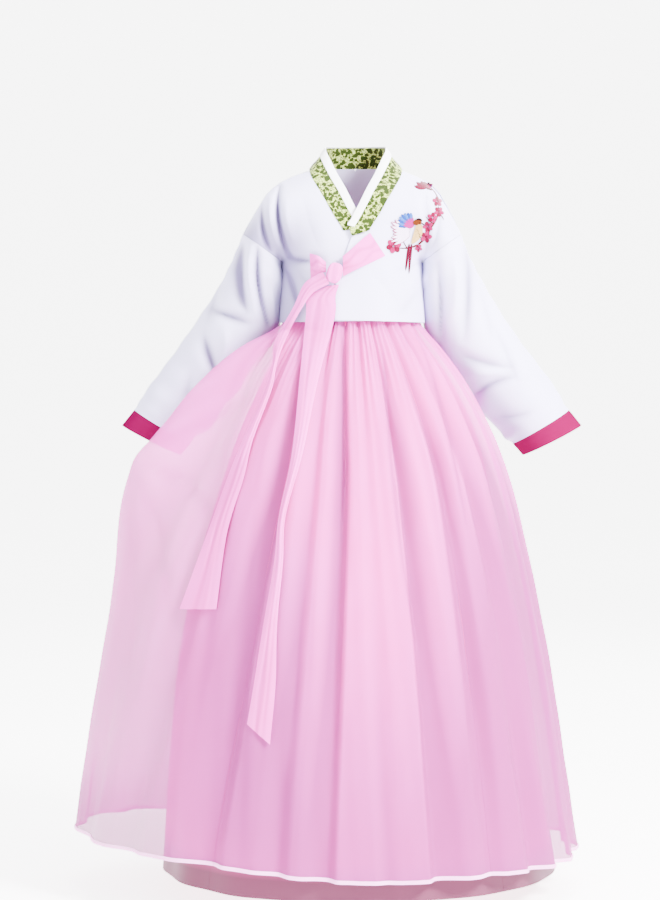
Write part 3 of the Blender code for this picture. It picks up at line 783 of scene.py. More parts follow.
# ---------------------------------------------------------------- sheets of cloth
@dataclass
class Cloth:
    """One sheet of cloth, laid over a grid and given a wall.

    Attributes:
        name: The piece's name.
        slot: A material slot's name; not used.
        finish: Its finish.
        shape: Gives the outer face at (u, v), both from 0 to 1.
        inside: A point on the wearer's side of the sheet, or one for each row.
        columns: Faces across.
        rows: Faces along.
        flat: Width and length it was cut to.
        hang: How it is held; not used.
        nodes: The solids it stands for.
        wall: Thickness.
        tube: Whether its two long edges meet.
        trim: Pieces that are sewn to it; not used.
        painted_shade: Gives each point's painted shade, from 0 to 1, from its u, its v and its place.
    """

    name: str
    slot: str
    finish: Finish
    shape: Shape
    inside: Callable[[Array], Array]
    columns: int
    rows: int
    flat: tuple[float, float]
    hang: Hang
    nodes: tuple[str, ...]
    wall: float = 0.0008
    tube: bool = False
    trim: tuple[str, ...] = ()
    painted_shade: PaintedShade | None = None

    def build(self) -> Cloth:
        """Builds the sheet, gives it its wall and its finish, and puts it on the frame.

        Returns:
            The sheet itself.
        """
        piece, u, v = grid(self.name, self.columns, self.rows)
        mesh = piece.data
        points = self.shape(u, v)
        put(mesh.vertices, "co", points)
        # Stores each point's painted shade as a point attribute, which the finish mixes into its colour.
        if self.painted_shade is not None:
            put(mesh.attributes.new("painted_shade", "FLOAT", "POINT").data, "value", self.painted_shade(u, v, points))
        scale_uv(mesh, self.flat)
        mesh.update()
        if self.tube:
            edit(piece, lambda: bpy.ops.mesh.remove_doubles(threshold=WELD))
        self.face_out(piece)
        share = sum(face.area for face in mesh.polygons) / (self.flat[0] * self.flat[1])
        LOG.info("%s: %.2f of its flat area", self.name, share)
        solid = piece.modifiers.new("wall", "SOLIDIFY")
        solid.thickness = self.wall
        solid.offset = -1.0
        solid.use_quality_normals = True
        solid.use_even_offset = False
        bpy.ops.object.modifier_apply(modifier=solid.name)
        bpy.ops.object.shade_smooth_by_angle(angle=math.radians(50))
        dress(piece, self.finish, self.nodes)
        return self

    def face_out(self, piece: bpy.types.Object) -> None:
        """Turns the faces to look away from the wearer, if they don't."""
        faces = piece.data.polygons
        centres = values(faces, "center", 3)
        if np.sum(values(faces, "normal", 3) * (centres - self.inside(centres))) < 0:
            edit(piece, bpy.ops.mesh.flip_normals)

    def declare(self) -> None:
        """Does nothing."""


def still(x: float, y: float, z: float) -> Callable[[Array], Array]:
    """A fixed point inside the cloth."""
    return lambda centres: np.array((x, y, z))


# ---------------------------------------------------------------- jacket
@dataclass
class Jacket:
    """The jacket's two halves, each cut in one over the shoulder."""

    columns: int = 120
    rows: int = 170
    flat: tuple[float, float] = (0.17, 0.44)
    left_creases: tuple[Crease, ...] = (
        Crease(0.0960, -0.0260, 0.1020, -0.0700, 0.0950, -0.1120, 0.0070, 0.0050),
        Crease(0.1180, -0.0400, 0.1150, -0.0700, 0.1030, -0.1000, 0.0060, 0.0040),
        Crease(0.0900, -0.1120, 0.0760, -0.1220, 0.0560, -0.1250, 0.0070, 0.0030),
        Crease(0.0900, -0.1500, 0.0750, -0.1650, 0.0600, -0.1850, 0.0080, 0.0030),
        Crease(0.0880, -0.1280, 0.0780, -0.1420, 0.0700, -0.1600, 0.0070, -0.0020),
        Crease(0.0250, -0.1300, 0.0450, -0.1450, 0.0620, -0.1750, 0.0100, 0.0016),
    )
    right_creases: tuple[Crease, ...] = (
        Crease(-0.0960, -0.0120, -0.1040, -0.0620, -0.0830, -0.1050, 0.0042, 0.0125),
        Crease(-0.1080, -0.0180, -0.1130, -0.0620, -0.0960, -0.0980, 0.0055, -0.0050),
        Crease(-0.1190, -0.0350, -0.1210, -0.0750, -0.1080, -0.0980, 0.0045, 0.0080),
        Crease(-0.0860, -0.0300, -0.0900, -0.0620, -0.0740, -0.0980, 0.0080, -0.0040),
        Crease(-0.0840, -0.1060, -0.0640, -0.1150, -0.0420, -0.1120, 0.0075, 0.0055),
        Crease(-0.0880, -0.1220, -0.0740, -0.1480, -0.0700, -0.1850, 0.0065, 0.0055),
        Crease(-0.0720, -0.1250, -0.0560, -0.1420, -0.0480, -0.1720, 0.0080, 0.0025),
        Crease(-0.0640, -0.0300, -0.0560, -0.0750, -0.0420, -0.0980, 0.0120, 0.0022),
    )

    def shape(self, half: Half) -> Shape:
        """The outer face of one half, from the front hem over the shoulder to the back hem."""
        neck = [collar_low(row, half) for row in range(COLLAR_END, FRONT_ROW - 1, -1)]
        nape = [collar_low(row, half) for row in range(FRONT_ROW, -1, -1)]
        if half is Half.LEFT:
            front = [(-0.0226, HEM_Z + 0.003), (-0.0215, -0.1400), COLLAR_CUT, *neck]
            creases = self.left_creases
        else:
            front = [(0.0300, HEM_Z + 0.002), (0.0180, -0.1300), (0.0060, -0.0830), (0.0035, -0.0722), *neck]
            creases = self.right_creases
        back = [*nape[:-1], (NECK_MIDDLE_X, nape[-1][1]), (0.0, -0.090), (0.0, HEM_Z)]

        def face(u: Array, v: Array) -> Array:
            ahead = v <= 0.5
            t = np.where(ahead, np.sin(np.pi * v), 1 - np.cos(np.pi * (v - 0.5)))
            near = [np.where(ahead, a, b) for a, b in zip(along(front, t), along(back, t))]
            sides = zip(along(OUTER_LINE, t), along(OUTER_LINE[::-1], t))
            far = [np.where(ahead, a, b) for a, b in sides]
            close = np.where(ahead, t, 1 - t)
            share = np.sin(u * np.pi / 2)
            x = near[0] + (half.value * far[0] - near[0]) * share
            z = near[1] + (far[1] - near[1]) * share
            straight = RIDGE[0].z + (RIDGE[-1].z - RIDGE[0].z) * share
            on_ridge = RIDGE[0].x + (RIDGE[-1].x - RIDGE[0].x) * share
            ridge_z = np.interp(on_ridge, [point.x for point in RIDGE], [point.z for point in RIDGE])
            z = z + (ridge_z - straight) * smooth(close * 5 - 4)
            sign = np.where(ahead, -1.0, 1.0)
            y = trunk(x, z, sign)
            if half is Half.LEFT:
                y = y - np.where(ahead, over(x, z), 0)
            behind = 0.6 * pressed(-np.abs(x), z, self.right_creases)
            depth = np.where(ahead, pressed(x, z, creases), behind)
            y = y - sign * (depth + self.slack(x, z)) * smooth(np.abs(y) / 0.035)
            near_top = np.clip(np.abs(v - 0.5) / 0.07, 0, 1)
            y = y * np.sin(near_top * np.pi / 2) ** 0.8
            z = z + 0.0012 * (1 - near_top**2) * smooth(u * 5) * smooth((1 - u) * 5)
            return np.stack([x, y, z], axis=1)

        return face

    def slack(self, x: Array, z: Array) -> Array:
        """The cloth's small unevenness, as inward depth."""
        return 0.0008 * np.sin(46 * x + 30 * z) * np.sin(38 * z - 17 * x + 1.0)

    def left_front(self, x: Array, z: Array) -> Array:
        """The y of the left front's outer face at (x, z)."""
        y = trunk(x, z, -1.0) - over(x, z)
        return y + (pressed(x, z, self.left_creases) + self.slack(x, z)) * smooth(np.abs(y) / 0.035)

    def painted_shade(self, half: Half) -> PaintedShade:
        """Painted shade of one half: in its creases, and towards its side, far more on the right half."""

        def value(u: Array, v: Array, points: Array) -> Array:
            x, y, z = points.T
            creases = self.left_creases if half is Half.LEFT else self.right_creases
            behind = 0.6 * pressed(-np.abs(x), z, self.right_creases)
            creased = np.where(y < 0, pressed(x, z, creases), behind)
            # Painted shade towards the side and below the shoulder, strong on the right half, which is turned
            # from the key light.
            side = smooth((np.abs(x) - 0.025) / 0.065) * smooth((-0.02 - z) / 0.07)
            shaded = 0.82 if half is Half.RIGHT else 0.10
            return np.clip(0.85 * smooth(creased / 0.009) + shaded * side, 0, 1)

        return value

    def build(self) -> list[Cloth]:
        """Builds both halves."""
        return [
            Cloth(
                f"jacket_{half.name.lower()}_cloth",
                "jacket_white",
                WHITE_SATIN,
                self.shape(half),
                still(half.value * 0.06, 0.0, -0.10),
                self.columns,
                self.rows,
                self.flat,
                Hang.HUNG,
                (f"jacket_{half.name.lower()}",),
                painted_shade=self.painted_shade(half),
            ).build()
            for half in Half
        ]


def collar_low(row: int, half: Half) -> tuple[float, float]:
    """The seam edge of the collar at a row, as (x, z)."""
    x, z = COLLAR[row].low_x, COLLAR[row].low_z
    return (x if half is Half.LEFT else 2 * NECK_MIDDLE_X - x), z


# ---------------------------------------------------------------- sleeves
@dataclass
class Sleeves:
    """The two sleeves and their cuffs."""

    around: int = 112
    rows: int = 150
    sleeve_flat: tuple[float, float] = (0.31, 0.30)
    cuff_flat: tuple[float, float] = (0.27, 0.023)
    facing_flat: tuple[float, float] = (0.26, 0.018)
    left_creases: tuple[Crease, ...] = (
        Crease(0.1520, -0.0950, 0.1580, -0.1500, 0.1480, -0.2150, 0.0080, 0.0080),
        Crease(0.1120, -0.1150, 0.1180, -0.1600, 0.1180, -0.2150, 0.0060, 0.0075),
        Crease(0.1330, -0.1050, 0.1400, -0.1400, 0.1330, -0.1900, 0.0075, -0.0045),
        Crease(0.1450, -0.2350, 0.1750, -0.2500, 0.2100, -0.2520, 0.0080, 0.0065),
        Crease(0.1650, -0.2900, 0.1850, -0.2700, 0.2150, -0.2660, 0.0075, 0.0070),
        Crease(0.1580, -0.2620, 0.1780, -0.2620, 0.2000, -0.2580, 0.0070, -0.0040),
        Crease(0.1950, -0.3180, 0.2150, -0.3220, 0.2400, -0.3120, 0.0090, 0.0050),
        Crease(0.1900, -0.2000, 0.2080, -0.2350, 0.2200, -0.2700, 0.0090, 0.0035),
        Crease(0.1700, -0.1500, 0.1820, -0.1850, 0.1850, -0.2200, 0.0090, 0.0030),
    )
    right_creases: tuple[Crease, ...] = (
        Crease(-0.1450, -0.0900, -0.1560, -0.1350, -0.1400, -0.1750, 0.0090, 0.0125),
        Crease(-0.1240, -0.0950, -0.1290, -0.1400, -0.1120, -0.1950, 0.0055, 0.0110),
        Crease(-0.1340, -0.0950, -0.1410, -0.1400, -0.1270, -0.1850, 0.0055, -0.0060),
        Crease(-0.1060, -0.1120, -0.1090, -0.1500, -0.1030, -0.1900, 0.0050, -0.0045),
        Crease(-0.1350, -0.1950, -0.1600, -0.1850, -0.1850, -0.1750, 0.0090, 0.0075),
        Crease(-0.1970, -0.2100, -0.1920, -0.2400, -0.1760, -0.2700, 0.0090, 0.0095),
        Crease(-0.1680, -0.2020, -0.1660, -0.2250, -0.1730, -0.2480, 0.0090, -0.0065),
        Crease(-0.2150, -0.2600, -0.2230, -0.2900, -0.2180, -0.3150, 0.0100, 0.0045),
        Crease(-0.1700, -0.1250, -0.1850, -0.1600, -0.1950, -0.2000, 0.0090, 0.0035),
    )

    def ring(self, half: Half, at: Array, u: Array) -> Array:
        """Points round the sleeve at fractional rows; row 0 is the seam with the jacket."""
        x, y, z, wide, deep, lean = (read(numbered(SLEEVE), column, at) for column in range(1, 7))
        lean = np.radians(lean)
        turn = 2 * np.pi * u
        s = np.cos(turn)
        first = SLEEVE[0]
        slant = math.radians(first.lean)
        sx = first.x + s * first.wide * math.cos(slant)
        sz = first.z + s * first.wide * math.sin(slant)
        sign = np.where(np.sin(turn) >= 0, 1.0, -1.0)
        seam = 1 - smooth(at / 1.2)
        py = y + deep * np.sin(turn) + seam * (trunk(sx, sz, sign) - first.y - first.deep * np.sin(turn))
        px, pz = x + s * wide * np.cos(lean), z + s * wide * np.sin(lean)
        px = px - 0.0065 * smooth(-s) * smooth(at / 0.8) * smooth((2.8 - at) / 1.0)
        middle = np.stack([half.value * x, y, z], axis=1)
        points = np.stack([half.value * px, py, pz], axis=1)
        creases = self.left_creases if half is Half.LEFT else self.right_creases
        front = pressed(points[:, 0], points[:, 2], creases) * smooth(-np.sin(turn) * 2.2)
        behind = pressed(points[:, 0], points[:, 2] - 0.012, creases) * smooth(np.sin(turn) * 2.2)
        under = 0.0022 * smooth(-s * 2 - 1) * np.sin(at * 6 + 1.5 * half.value) * smooth((at - 2) / 0.8)
        soft = 0.0009 * np.sin(7 * at + 3 * turn) * np.sin(4 * at - 2 * turn + half.value)
        free = smooth(at / 0.25) * smooth((CUFF_ROW - at) / 0.35)
        depth = (front + 0.8 * behind + under + soft) * free
        away = points - middle
        away /= np.maximum(np.linalg.norm(away, axis=1, keepdims=True), 1e-9)
        return points - depth[:, None] * away

    def build(self) -> list[Cloth]:
        """Builds both sleeves and both cuffs."""
        made = []
        for half in Half:
            side = half.name.lower()
            made.append(
                Cloth(
                    f"sleeve_{side}_cloth",
                    "jacket_white",
                    WHITE_SATIN,
                    self.tube(half, 0.012, CUFF_ROW - 0.008),
                    self.inside(half),
                    self.around,
                    self.rows,
                    self.sleeve_flat,
                    Hang.HUNG,
                    (f"sleeve_{side}",),
                    wall=0.0009,
                    tube=True,
                    painted_shade=self.painted_shade(half),
                ).build()
            )
            made.append(
                Cloth(
                    f"cuff_{side}_cloth",
                    "cuff_pink",
                    HOT_PINK,
                    self.tube(half, CUFF_ROW + 0.008, CUFF_ROW + 1.0),
                    self.inside(half),
                    self.around,
                    16,
                    self.cuff_flat,
                    Hang.HUNG,
                    (f"cuff_{side}",),
                    wall=0.0013,
                    tube=True,
                    trim=(f"cuff_facing_{side}",),
                ).build()
            )
            self.facing(half)
        return made

    def painted_shade(self, half: Half) -> PaintedShade:
        """Painted shade of the sleeve: in its creases and along its underside, and all over the right sleeve.
        """

        def value(u: Array, v: Array, points: Array) -> Array:
            x, y, z = points.T
            creases = self.left_creases if half is Half.LEFT else self.right_creases
            middle = self.inside(half)(points)
            # Painted shade along the sleeve's underside.
            under = smooth((np.abs(middle[:, 0]) - np.abs(x) - 0.012) / 0.030)
            front = smooth((middle[:, 1] + 0.01 - y) / 0.02)
            behind = 0.7 * pressed(x, z - 0.012, creases)
            creased = pressed(x, z, creases) * front + behind * (1 - front)
            # Painted shade over all of the right sleeve, which is turned from the key light.
            far = 0.18 if half is Half.RIGHT else 0.0
            return np.clip(0.80 * smooth(creased / 0.009) + 0.38 * under + far, 0, 1)

        return value

    def facing(self, half: Half) -> None:
        """Builds the pale facing that shows inside the cuff's mouth."""

        def face(u: Array, v: Array) -> Array:
            at = CUFF_ROW + 0.2 + 0.83 * v
            points = self.ring(half, at, u)
            x, y, z = (read(numbered(SLEEVE), column, at) for column in (1, 2, 3))
            away = points - np.stack([half.value * x, y, z], axis=1)
            return points - away / np.linalg.norm(away, axis=1, keepdims=True) * 0.0019

        Cloth(
            f"cuff_facing_{half.name.lower()}",
            "edging_white",
            EDGING,
            face,
            self.inside(half),
            self.around,
            10,
            self.facing_flat,
            Hang.HUNG,
            (),
            wall=0.0005,
            tube=True,
        ).build()

    def tube(self, half: Half, start: float, end: float) -> Shape:
        """The face of the sleeve between two fractional rows."""
        return lambda u, v: self.ring(half, start + (end - start) * v, u)

    def inside(self, half: Half) -> Callable[[Array], Array]:
        """The sleeve's middle line at the height of each point."""

        def middle(centres: Array) -> Array:
            x, y = (read(SLEEVE, column, centres[:, 2], 2) for column in (0, 1))
            return np.stack([half.value * x, y, centres[:, 2]], axis=1)

        return middle


# ---------------------------------------------------------------- collar
@dataclass
class Collar:
    """The green collar band and the white edging folded over its top."""

    along_count: int = 260
    up_count: int = 14
    band_flat: tuple[float, float] = (0.44, 0.032)
    edging_flat: tuple[float, float] = (0.42, 0.0115)
    edging_share: float = 0.30

    def edges(self, row: Array, half: Half) -> tuple[Array, Array]:
        """The band's two edges at fractional rows."""
        columns = (read(numbered(COLLAR), column, row) for column in range(1, 6))
        low_x, low_z, top_x, top_y, top_z = columns
        if half is Half.RIGHT:
            low_x, top_x = 2 * NECK_MIDDLE_X - low_x, 2 * NECK_MIDDLE_X - top_x
        sign = np.where(row < FRONT_ROW, 1.0, -1.0)
        crossing = smooth((row - FRONT_ROW) / 3)
        low_y = trunk(low_x, low_z, sign)
        if half is Half.LEFT:
            low_y, top_y = low_y - 0.0046 * crossing, top_y - 0.0012 * crossing
        else:
            top_y = top_y + 0.0052 * crossing
        return np.stack([low_x, low_y, low_z], axis=1), np.stack([top_x, top_y, top_z], axis=1)

    def face(self, first: float, last: float, out: float, last_row: int) -> Shape:
        """The band's face between two shares of its height, moved out, as far as a row on the left."""

        def shape(u: Array, v: Array) -> Array:
            at = u * (last_row + COLLAR_END) - COLLAR_END
            points = np.zeros((len(u), 3))
            for half, mask in ((Half.RIGHT, at < 0), (Half.LEFT, at >= 0)):
                low, top = self.edges(np.abs(at), half)
                share = (first + (last - first) * v)[:, None]
                rise = top - low
                line = low + rise * share
                ahead = np.stack([line[:, 0] - NECK_MIDDLE_X, line[:, 1], np.zeros(len(u))], axis=1)
                lean = np.sum(ahead * rise, axis=1) / np.sum(rise * rise, axis=1)
                facing = ahead - rise * lean[:, None]
                facing /= np.maximum(np.linalg.norm(facing, axis=1, keepdims=True), 1e-9)
                belly = 0.0006 * np.sin(np.pi * np.clip(v, 0, 1))[:, None]
                points[mask] = (line + facing * (out + belly))[mask]
            return points

        return shape

    def build(self) -> list[Cloth]:
        """Builds the band and its edging."""
        share = 1 - self.edging_share
        return [
            Cloth(
                name + "_cloth",
                slot,
                finish,
                face,
                still(NECK_MIDDLE_X, 0.0, 0.0),
                self.along_count,
                self.up_count,
                flat,
                Hang.STRETCHED,
                (name,),
                wall=wall,
            ).build()
            for name, slot, finish, face, flat, wall in (
                (
                    "collar",
                    "collar_green",
                    BROCADE,
                    self.face(0.0, 1.0, 0.0006, COLLAR_END + 1),
                    self.band_flat,
                    0.0012,
                ),
                (
                    "collar_edging",
                    "edging_white",
                    EDGING,
                    self.face(share, 1.05, 0.0022, COLLAR_END),
                    self.edging_flat,
                    0.001,
                ),
            )
        ]


# ---------------------------------------------------------------- ribbon
BAND = (
    RibbonRow(0.0229, -0.0766, 0.0429, -0.1063, 0.0016, 0.000),
    RibbonRow(0.0102, -0.0868, 0.0273, -0.1141, 0.0020, 0.001),
    RibbonRow(-0.0029, -0.0990, 0.0078, -0.1233, 0.0035, 0.003),
    RibbonRow(-0.0127, -0.1073, -0.0122, -0.1336, 0.0050, 0.004),
)
EAR = (
    RibbonRow(-0.0345, -0.1150, -0.0345, -0.1280, 0.0050, 0.003),
    RibbonRow(-0.0440, -0.1070, -0.0440, -0.1300, 0.0060, 0.004),
    RibbonRow(-0.0560, -0.1030, -0.0545, -0.1370, 0.0030, 0.002),
)
TAIL_SHORT = (
    RibbonRow(-0.0390, -0.1277, -0.0302, -0.1433, 0.0110, 0.003),
    RibbonRow(-0.0622, -0.1420, -0.0506, -0.1543, 0.0110, 0.004),
    RibbonRow(-0.0765, -0.1715, -0.0633, -0.1706, 0.0110, 0.004),
    RibbonRow(-0.0946, -0.2029, -0.0790, -0.1977, 0.0110, 0.004),
    RibbonRow(-0.1034, -0.2236, -0.0905, -0.2236, 0.0110, 0.005),
    RibbonRow(-0.1047, -0.2494, -0.0986, -0.2494, 0.0100, 0.005),
    RibbonRow(-0.1142, -0.2784, -0.1048, -0.2813, 0.0090, 0.004),
    RibbonRow(-0.1419, -0.3452, -0.1279, -0.3440, 0.0080, 0.004),
    RibbonRow(-0.1605, -0.3918, -0.1401, -0.3944, 0.0070, 0.003),
    RibbonRow(-0.1860, -0.4629, -0.1607, -0.4629, 0.0060, 0.003),
    RibbonRow(-0.2207, -0.5586, -0.1730, -0.5561, 0.0060, 0.002),
)
TAIL_LONG = (
    RibbonRow(-0.0341, -0.1462, -0.0175, -0.1443, 0.0040, 0.003),
    RibbonRow(-0.0584, -0.1601, -0.0220, -0.1601, 0.0040, 0.002),
    RibbonRow(-0.0609, -0.1848, -0.0233, -0.1873, 0.0040, 0.002),
    RibbonRow(-0.0683, -0.2649, -0.0438, -0.2649, 0.0040, 0.004),
    RibbonRow(-0.0779, -0.3604, -0.0639, -0.3604, 0.0040, 0.005),
    RibbonRow(-0.0938, -0.4380, -0.0850, -0.4380, 0.0050, 0.006),
    RibbonRow(-0.0997, -0.4962, -0.0883, -0.4962, 0.0050, 0.005),
    RibbonRow(-0.1127, -0.5719, -0.0952, -0.5719, 0.0050, 0.004),
    RibbonRow(-0.1243, -0.6453, -0.0969, -0.6453, 0.0050, 0.003),
    RibbonRow(-0.1324, -0.6940, -0.1037, -0.7176, 0.0050, 0.002),
)
KNOT = Point(-0.0234, -0.1290)
KNOT_HALF = (0.0095, 0.0060, 0.0140)


@dataclass
class Ribbon:
    """The tie: its band across the left front, the knot, one loop and two tails."""

    gathers: float = 6.0

    def face(self, rows: Sequence[RibbonRow]) -> Shape:
        """The outer face of a ribbon; u runs across and v along."""
        index = numbered(rows)
        coarse_at = np.linspace(0, len(rows) - 1, 6 * len(rows))
        coarse_share = np.linspace(0, 1, 7)

        def place(at: Array, share: Array) -> tuple[Array, Array]:
            left_x, left_z, right_x, right_z = (read(index, column, at) for column in range(1, 5))
            return left_x + (right_x - left_x) * share, left_z + (right_z - left_z) * share

        grid_at, grid_share = np.meshgrid(coarse_at, coarse_share, indexing="ij")
        gx, gz = place(grid_at.ravel(), grid_share.ravel())
        gy = skirt_front(gx, gz)
        jacket = trunk(gx, gz, -1.0) - over(gx, gz) - SEAM
        above = smooth((gz - HEM_Z + 0.028) / 0.018)
        gy = (gy + (np.minimum(gy, jacket) - gy) * above).reshape(grid_at.shape)

        def shape(u: Array, v: Array) -> Array:
            at = v * (len(rows) - 1.0)
            x, z = place(at, u)
            fa = np.clip(at / (len(rows) - 1.0) * (len(coarse_at) - 1), 0, len(coarse_at) - 1.001)
            fs = np.clip(u * 6, 0, 5.999)
            i, j = fa.astype(int), fs.astype(int)
            a, s = fa - i, fs - j
            y = (gy[i, j] * (1 - a) + gy[i + 1, j] * a) * (1 - s)
            y = y + (gy[i, j + 1] * (1 - a) + gy[i + 1, j + 1] * a) * s
            stand, curl = read(index, 5, at), read(index, 6, at)
            crease = 0.0011 * np.exp(-(((u - 0.36 - 0.08 * np.sin(2.1 * at)) / 0.07) ** 2))
            crease += 0.0008 * np.exp(-(((u - 0.72 + 0.07 * np.sin(1.7 * at)) / 0.06) ** 2))
            wave = 0.0006 * np.sin(3.3 * at + 4 * u) * smooth(at / 0.5)
            y = y - stand - curl * np.sin(u * np.pi) + (crease + wave) * smooth(curl / 0.002)
            return np.stack([x, y, z], axis=1)

        return shape

    def painted_shade(self, u: Array, v: Array, points: Array) -> Array:
        """Painted shade of the ribbon: along its two soft folds, towards the knot, and more further along its
        length.
        """
        fold = np.exp(-(((u - 0.36 - 0.10 * np.sin(9 * v)) / 0.09) ** 2))
        fold = fold + 0.8 * np.exp(-(((u - 0.74 + 0.09 * np.sin(8 * v)) / 0.07) ** 2))
        near = np.hypot(points[:, 0] - KNOT.x, points[:, 2] - KNOT.z)
        knotted = 0.35 * smooth((0.034 - near) / 0.022)
        return np.clip(0.38 * fold + knotted + 0.25 * smooth((v - 0.3) / 0.7), 0, 1)

    def build(self) -> list[Cloth]:
        """Builds the ribbon's pieces."""
        made = [
            Cloth(
                name + "_cloth",
                "ribbon_pink",
                RIBBON,
                self.face(rows),
                still(-0.03, 0.10, -0.30),
                columns,
                count,
                flat,
                hang,
                (name,),
                wall=0.0009,
                painted_shade=self.painted_shade,
            ).build()
            for name, rows, columns, count, flat, hang in (
                ("ribbon_band", BAND, 24, 60, (0.029, 0.062), Hang.FOLDED),
                ("ribbon_loop", EAR, 24, 40, (0.028, 0.024), Hang.FOLDED),
                ("ribbon_tail_short", TAIL_SHORT, 20, 260, (0.025, 0.50), Hang.HUNG),
                ("ribbon_tail_long", TAIL_LONG, 20, 300, (0.025, 0.60), Hang.HUNG),
            )
        ]
        self.knot()
        return made

    def knot(self) -> None:
        """Builds the knot: a small bulge of wound ribbon with soft creases down it."""
        deselect()
        bpy.ops.mesh.primitive_uv_sphere_add(segments=64, ring_count=40, radius=1.0, calc_uvs=True)
        piece = bpy.context.active_object
        piece.name = "ribbon_knot_cloth"
        unit = values(piece.data.vertices, "co", 3)
        turn = np.arctan2(unit[:, 1], unit[:, 0])
        crease = 0.09 * np.sin(self.gathers * turn + 1.6 * unit[:, 2]) * np.hypot(unit[:, 0], unit[:, 1])
        boxed = np.sign(unit) * np.abs(unit) ** 0.78
        side, out, up = (boxed * (1 - crease)[:, None] * np.array(KNOT_HALF) * np.array((1.0, 1.0, 0.94))).T
        tilt = math.radians(-16)
        x = KNOT.x + side * math.cos(tilt) - up * math.sin(tilt)
        z = KNOT.z + side * math.sin(tilt) + up * math.cos(tilt)
        middle = float(trunk(*KNOT, -1.0) - over(*KNOT)) - 0.0025 - KNOT_HALF[1]
        put(piece.data.vertices, "co", np.stack([x, middle + out, z], axis=1))
        piece.data.update()
        bpy.ops.object.shade_smooth()
        dress(piece, RIBBON, ("ribbon_knot",))


# ---------------------------------------------------------------- skirt
def fold_at(index: int, z: Array) -> Array:
    """The angle of a fold's trough at a height."""
    fold = FOLDS[index]
    return np.interp(z, FOLD_HEIGHTS, (fold.hem, fold.middle, fold.top))


def skirt_detail(degrees: Array, z: Array) -> Array:
    """Small soft creases of the organza, as inward depth."""
    turn = np.radians(degrees)
    down = smooth((-0.20 - z) / 0.15)
    high = smooth((z + 0.34) / 0.14) * smooth((-0.17 - z) / 0.03)
    gathers = 0.0010 * np.sin(97 * turn + 2.6 * np.sin(5 * turn)) * high
    drift = 0.0012 * np.sin(31 * turn + 9 * z + 2 * np.sin(4 * turn + 6 * z)) * down
    crumple = 0.0005 * np.sin(57 * turn - 23 * z) * np.sin(19 * turn + 41 * z + 1.3) * down
    return gathers + drift + crumple


HAND_FOLDS = (
    Crease(-0.2690, -0.3520, -0.1970, -0.3310, -0.1300, -0.2870, 0.0110, 0.0060),
    Crease(-0.2750, -0.3750, -0.2200, -0.3950, -0.1700, -0.4500, 0.0120, 0.0060),
    Crease(-0.2650, -0.3350, -0.2050, -0.2950, -0.1500, -0.2550, 0.0100, 0.0040),
    Crease(-0.2850, -0.3850, -0.2550, -0.4600, -0.2350, -0.5600, 0.0120, 0.0060),
    Crease(-0.2900, -0.3950, -0.2900, -0.5200, -0.2850, -0.6800, 0.0120, 0.0050),
)


PLEATS = (
    Crease(-0.0620, -0.1950, -0.0680, -0.3000, -0.0900, -0.4500, 0.0040, 0.0030),
    Crease(-0.0133, -0.1960, 0.0046, -0.3885, -0.0226, -0.7210, 0.0045, 0.0036),
    Crease(0.0106, -0.1980, 0.0180, -0.2200, 0.0290, -0.2410, 0.0030, 0.0020),
    Crease(0.0426, -0.2000, 0.0421, -0.3775, 0.0811, -0.6040, 0.0042, 0.0032),
    Crease(0.0650, -0.1960, 0.0720, -0.2150, 0.0800, -0.2450, 0.0030, 0.0020),
    Crease(0.0811, -0.2000, 0.1151, -0.2580, 0.1463, -0.4550, 0.0042, 0.0030),
)


def pleated(x: Array, y: Array, z: Array) -> Array:
    """The depth of the long pressed pleats, which run down the front and, mirrored, down the back."""
    return pressed(np.where(y < 0, x, -x), z, PLEATS) * smooth(np.abs(y) / 0.06)


def direction(points: Array) -> Array:
    """The angle of each point round the skirt's middle, from 0 to 360."""
    return np.degrees(np.arctan2(points[:, 1] - skirt_middle(points[:, 2]), points[:, 0])) % 360


def near(degrees: Array, at: float, reach: float, soft: float) -> Array:
    """1 close to a direction, and 0 farther from it than its reach."""
    return smooth((reach - np.abs(apart(degrees, at))) / soft)


def skirt_painted_shade(u: Array, v: Array, points: Array) -> Array:
    """Painted shade of the skirt: most in its troughs and pleats, and some low down and at its sides.

    Args:
        u: Share of the panel's width; not used.
        v: Share of its length; not used.
        points: Each point's place.

    Returns:
        The painted shade, from 0 to 1.
    """
    degrees, z = direction(points), points[:, 2]
    x, y = points[:, 0], points[:, 1] - skirt_middle(z)
    # Painted shade in the folds' troughs, low down, towards the sides, low on the wearer's left front, in the
    # recess, in the gathers, beside each pleat and along the hand's folds.
    painted_shade = 0.95 * smooth(fold_depth(degrees, z) / 0.0145)
    painted_shade += 0.84 * smooth((-0.46 - z) / 0.42)
    sideways = np.abs(np.cos(np.radians(degrees)))
    painted_shade += 0.60 * smooth((sideways - 0.42) / 0.50) * smooth((-0.24 - z) / 0.25)
    painted_shade += 0.45 * near(degrees, 325, 40, 30) * smooth((-0.34 - z) / 0.20)
    painted_shade += 0.45 * near(degrees, RECESS_ANGLE, 26, 18) * smooth((-0.40 - z) / 0.14)
    painted_shade += 0.22 * smooth(ripple(degrees, z) / 0.0022) * smooth((z + 0.33) / 0.10)
    painted_shade += 0.75 * smooth(pleated(x + 0.0022 * np.where(y < 0, 1, -1), y, z) / 0.0032)
    painted_shade += 0.5 * smooth(pressed(x, z, HAND_FOLDS) / 0.006) * (y < 0.02)
    # The painted shade is weaker on the held-out side.
    held = near(degrees, 185, 50, 35) * smooth((z + 0.85) / 0.10)
    return np.clip(painted_shade, 0, 1) * (1 - 0.42 * held)


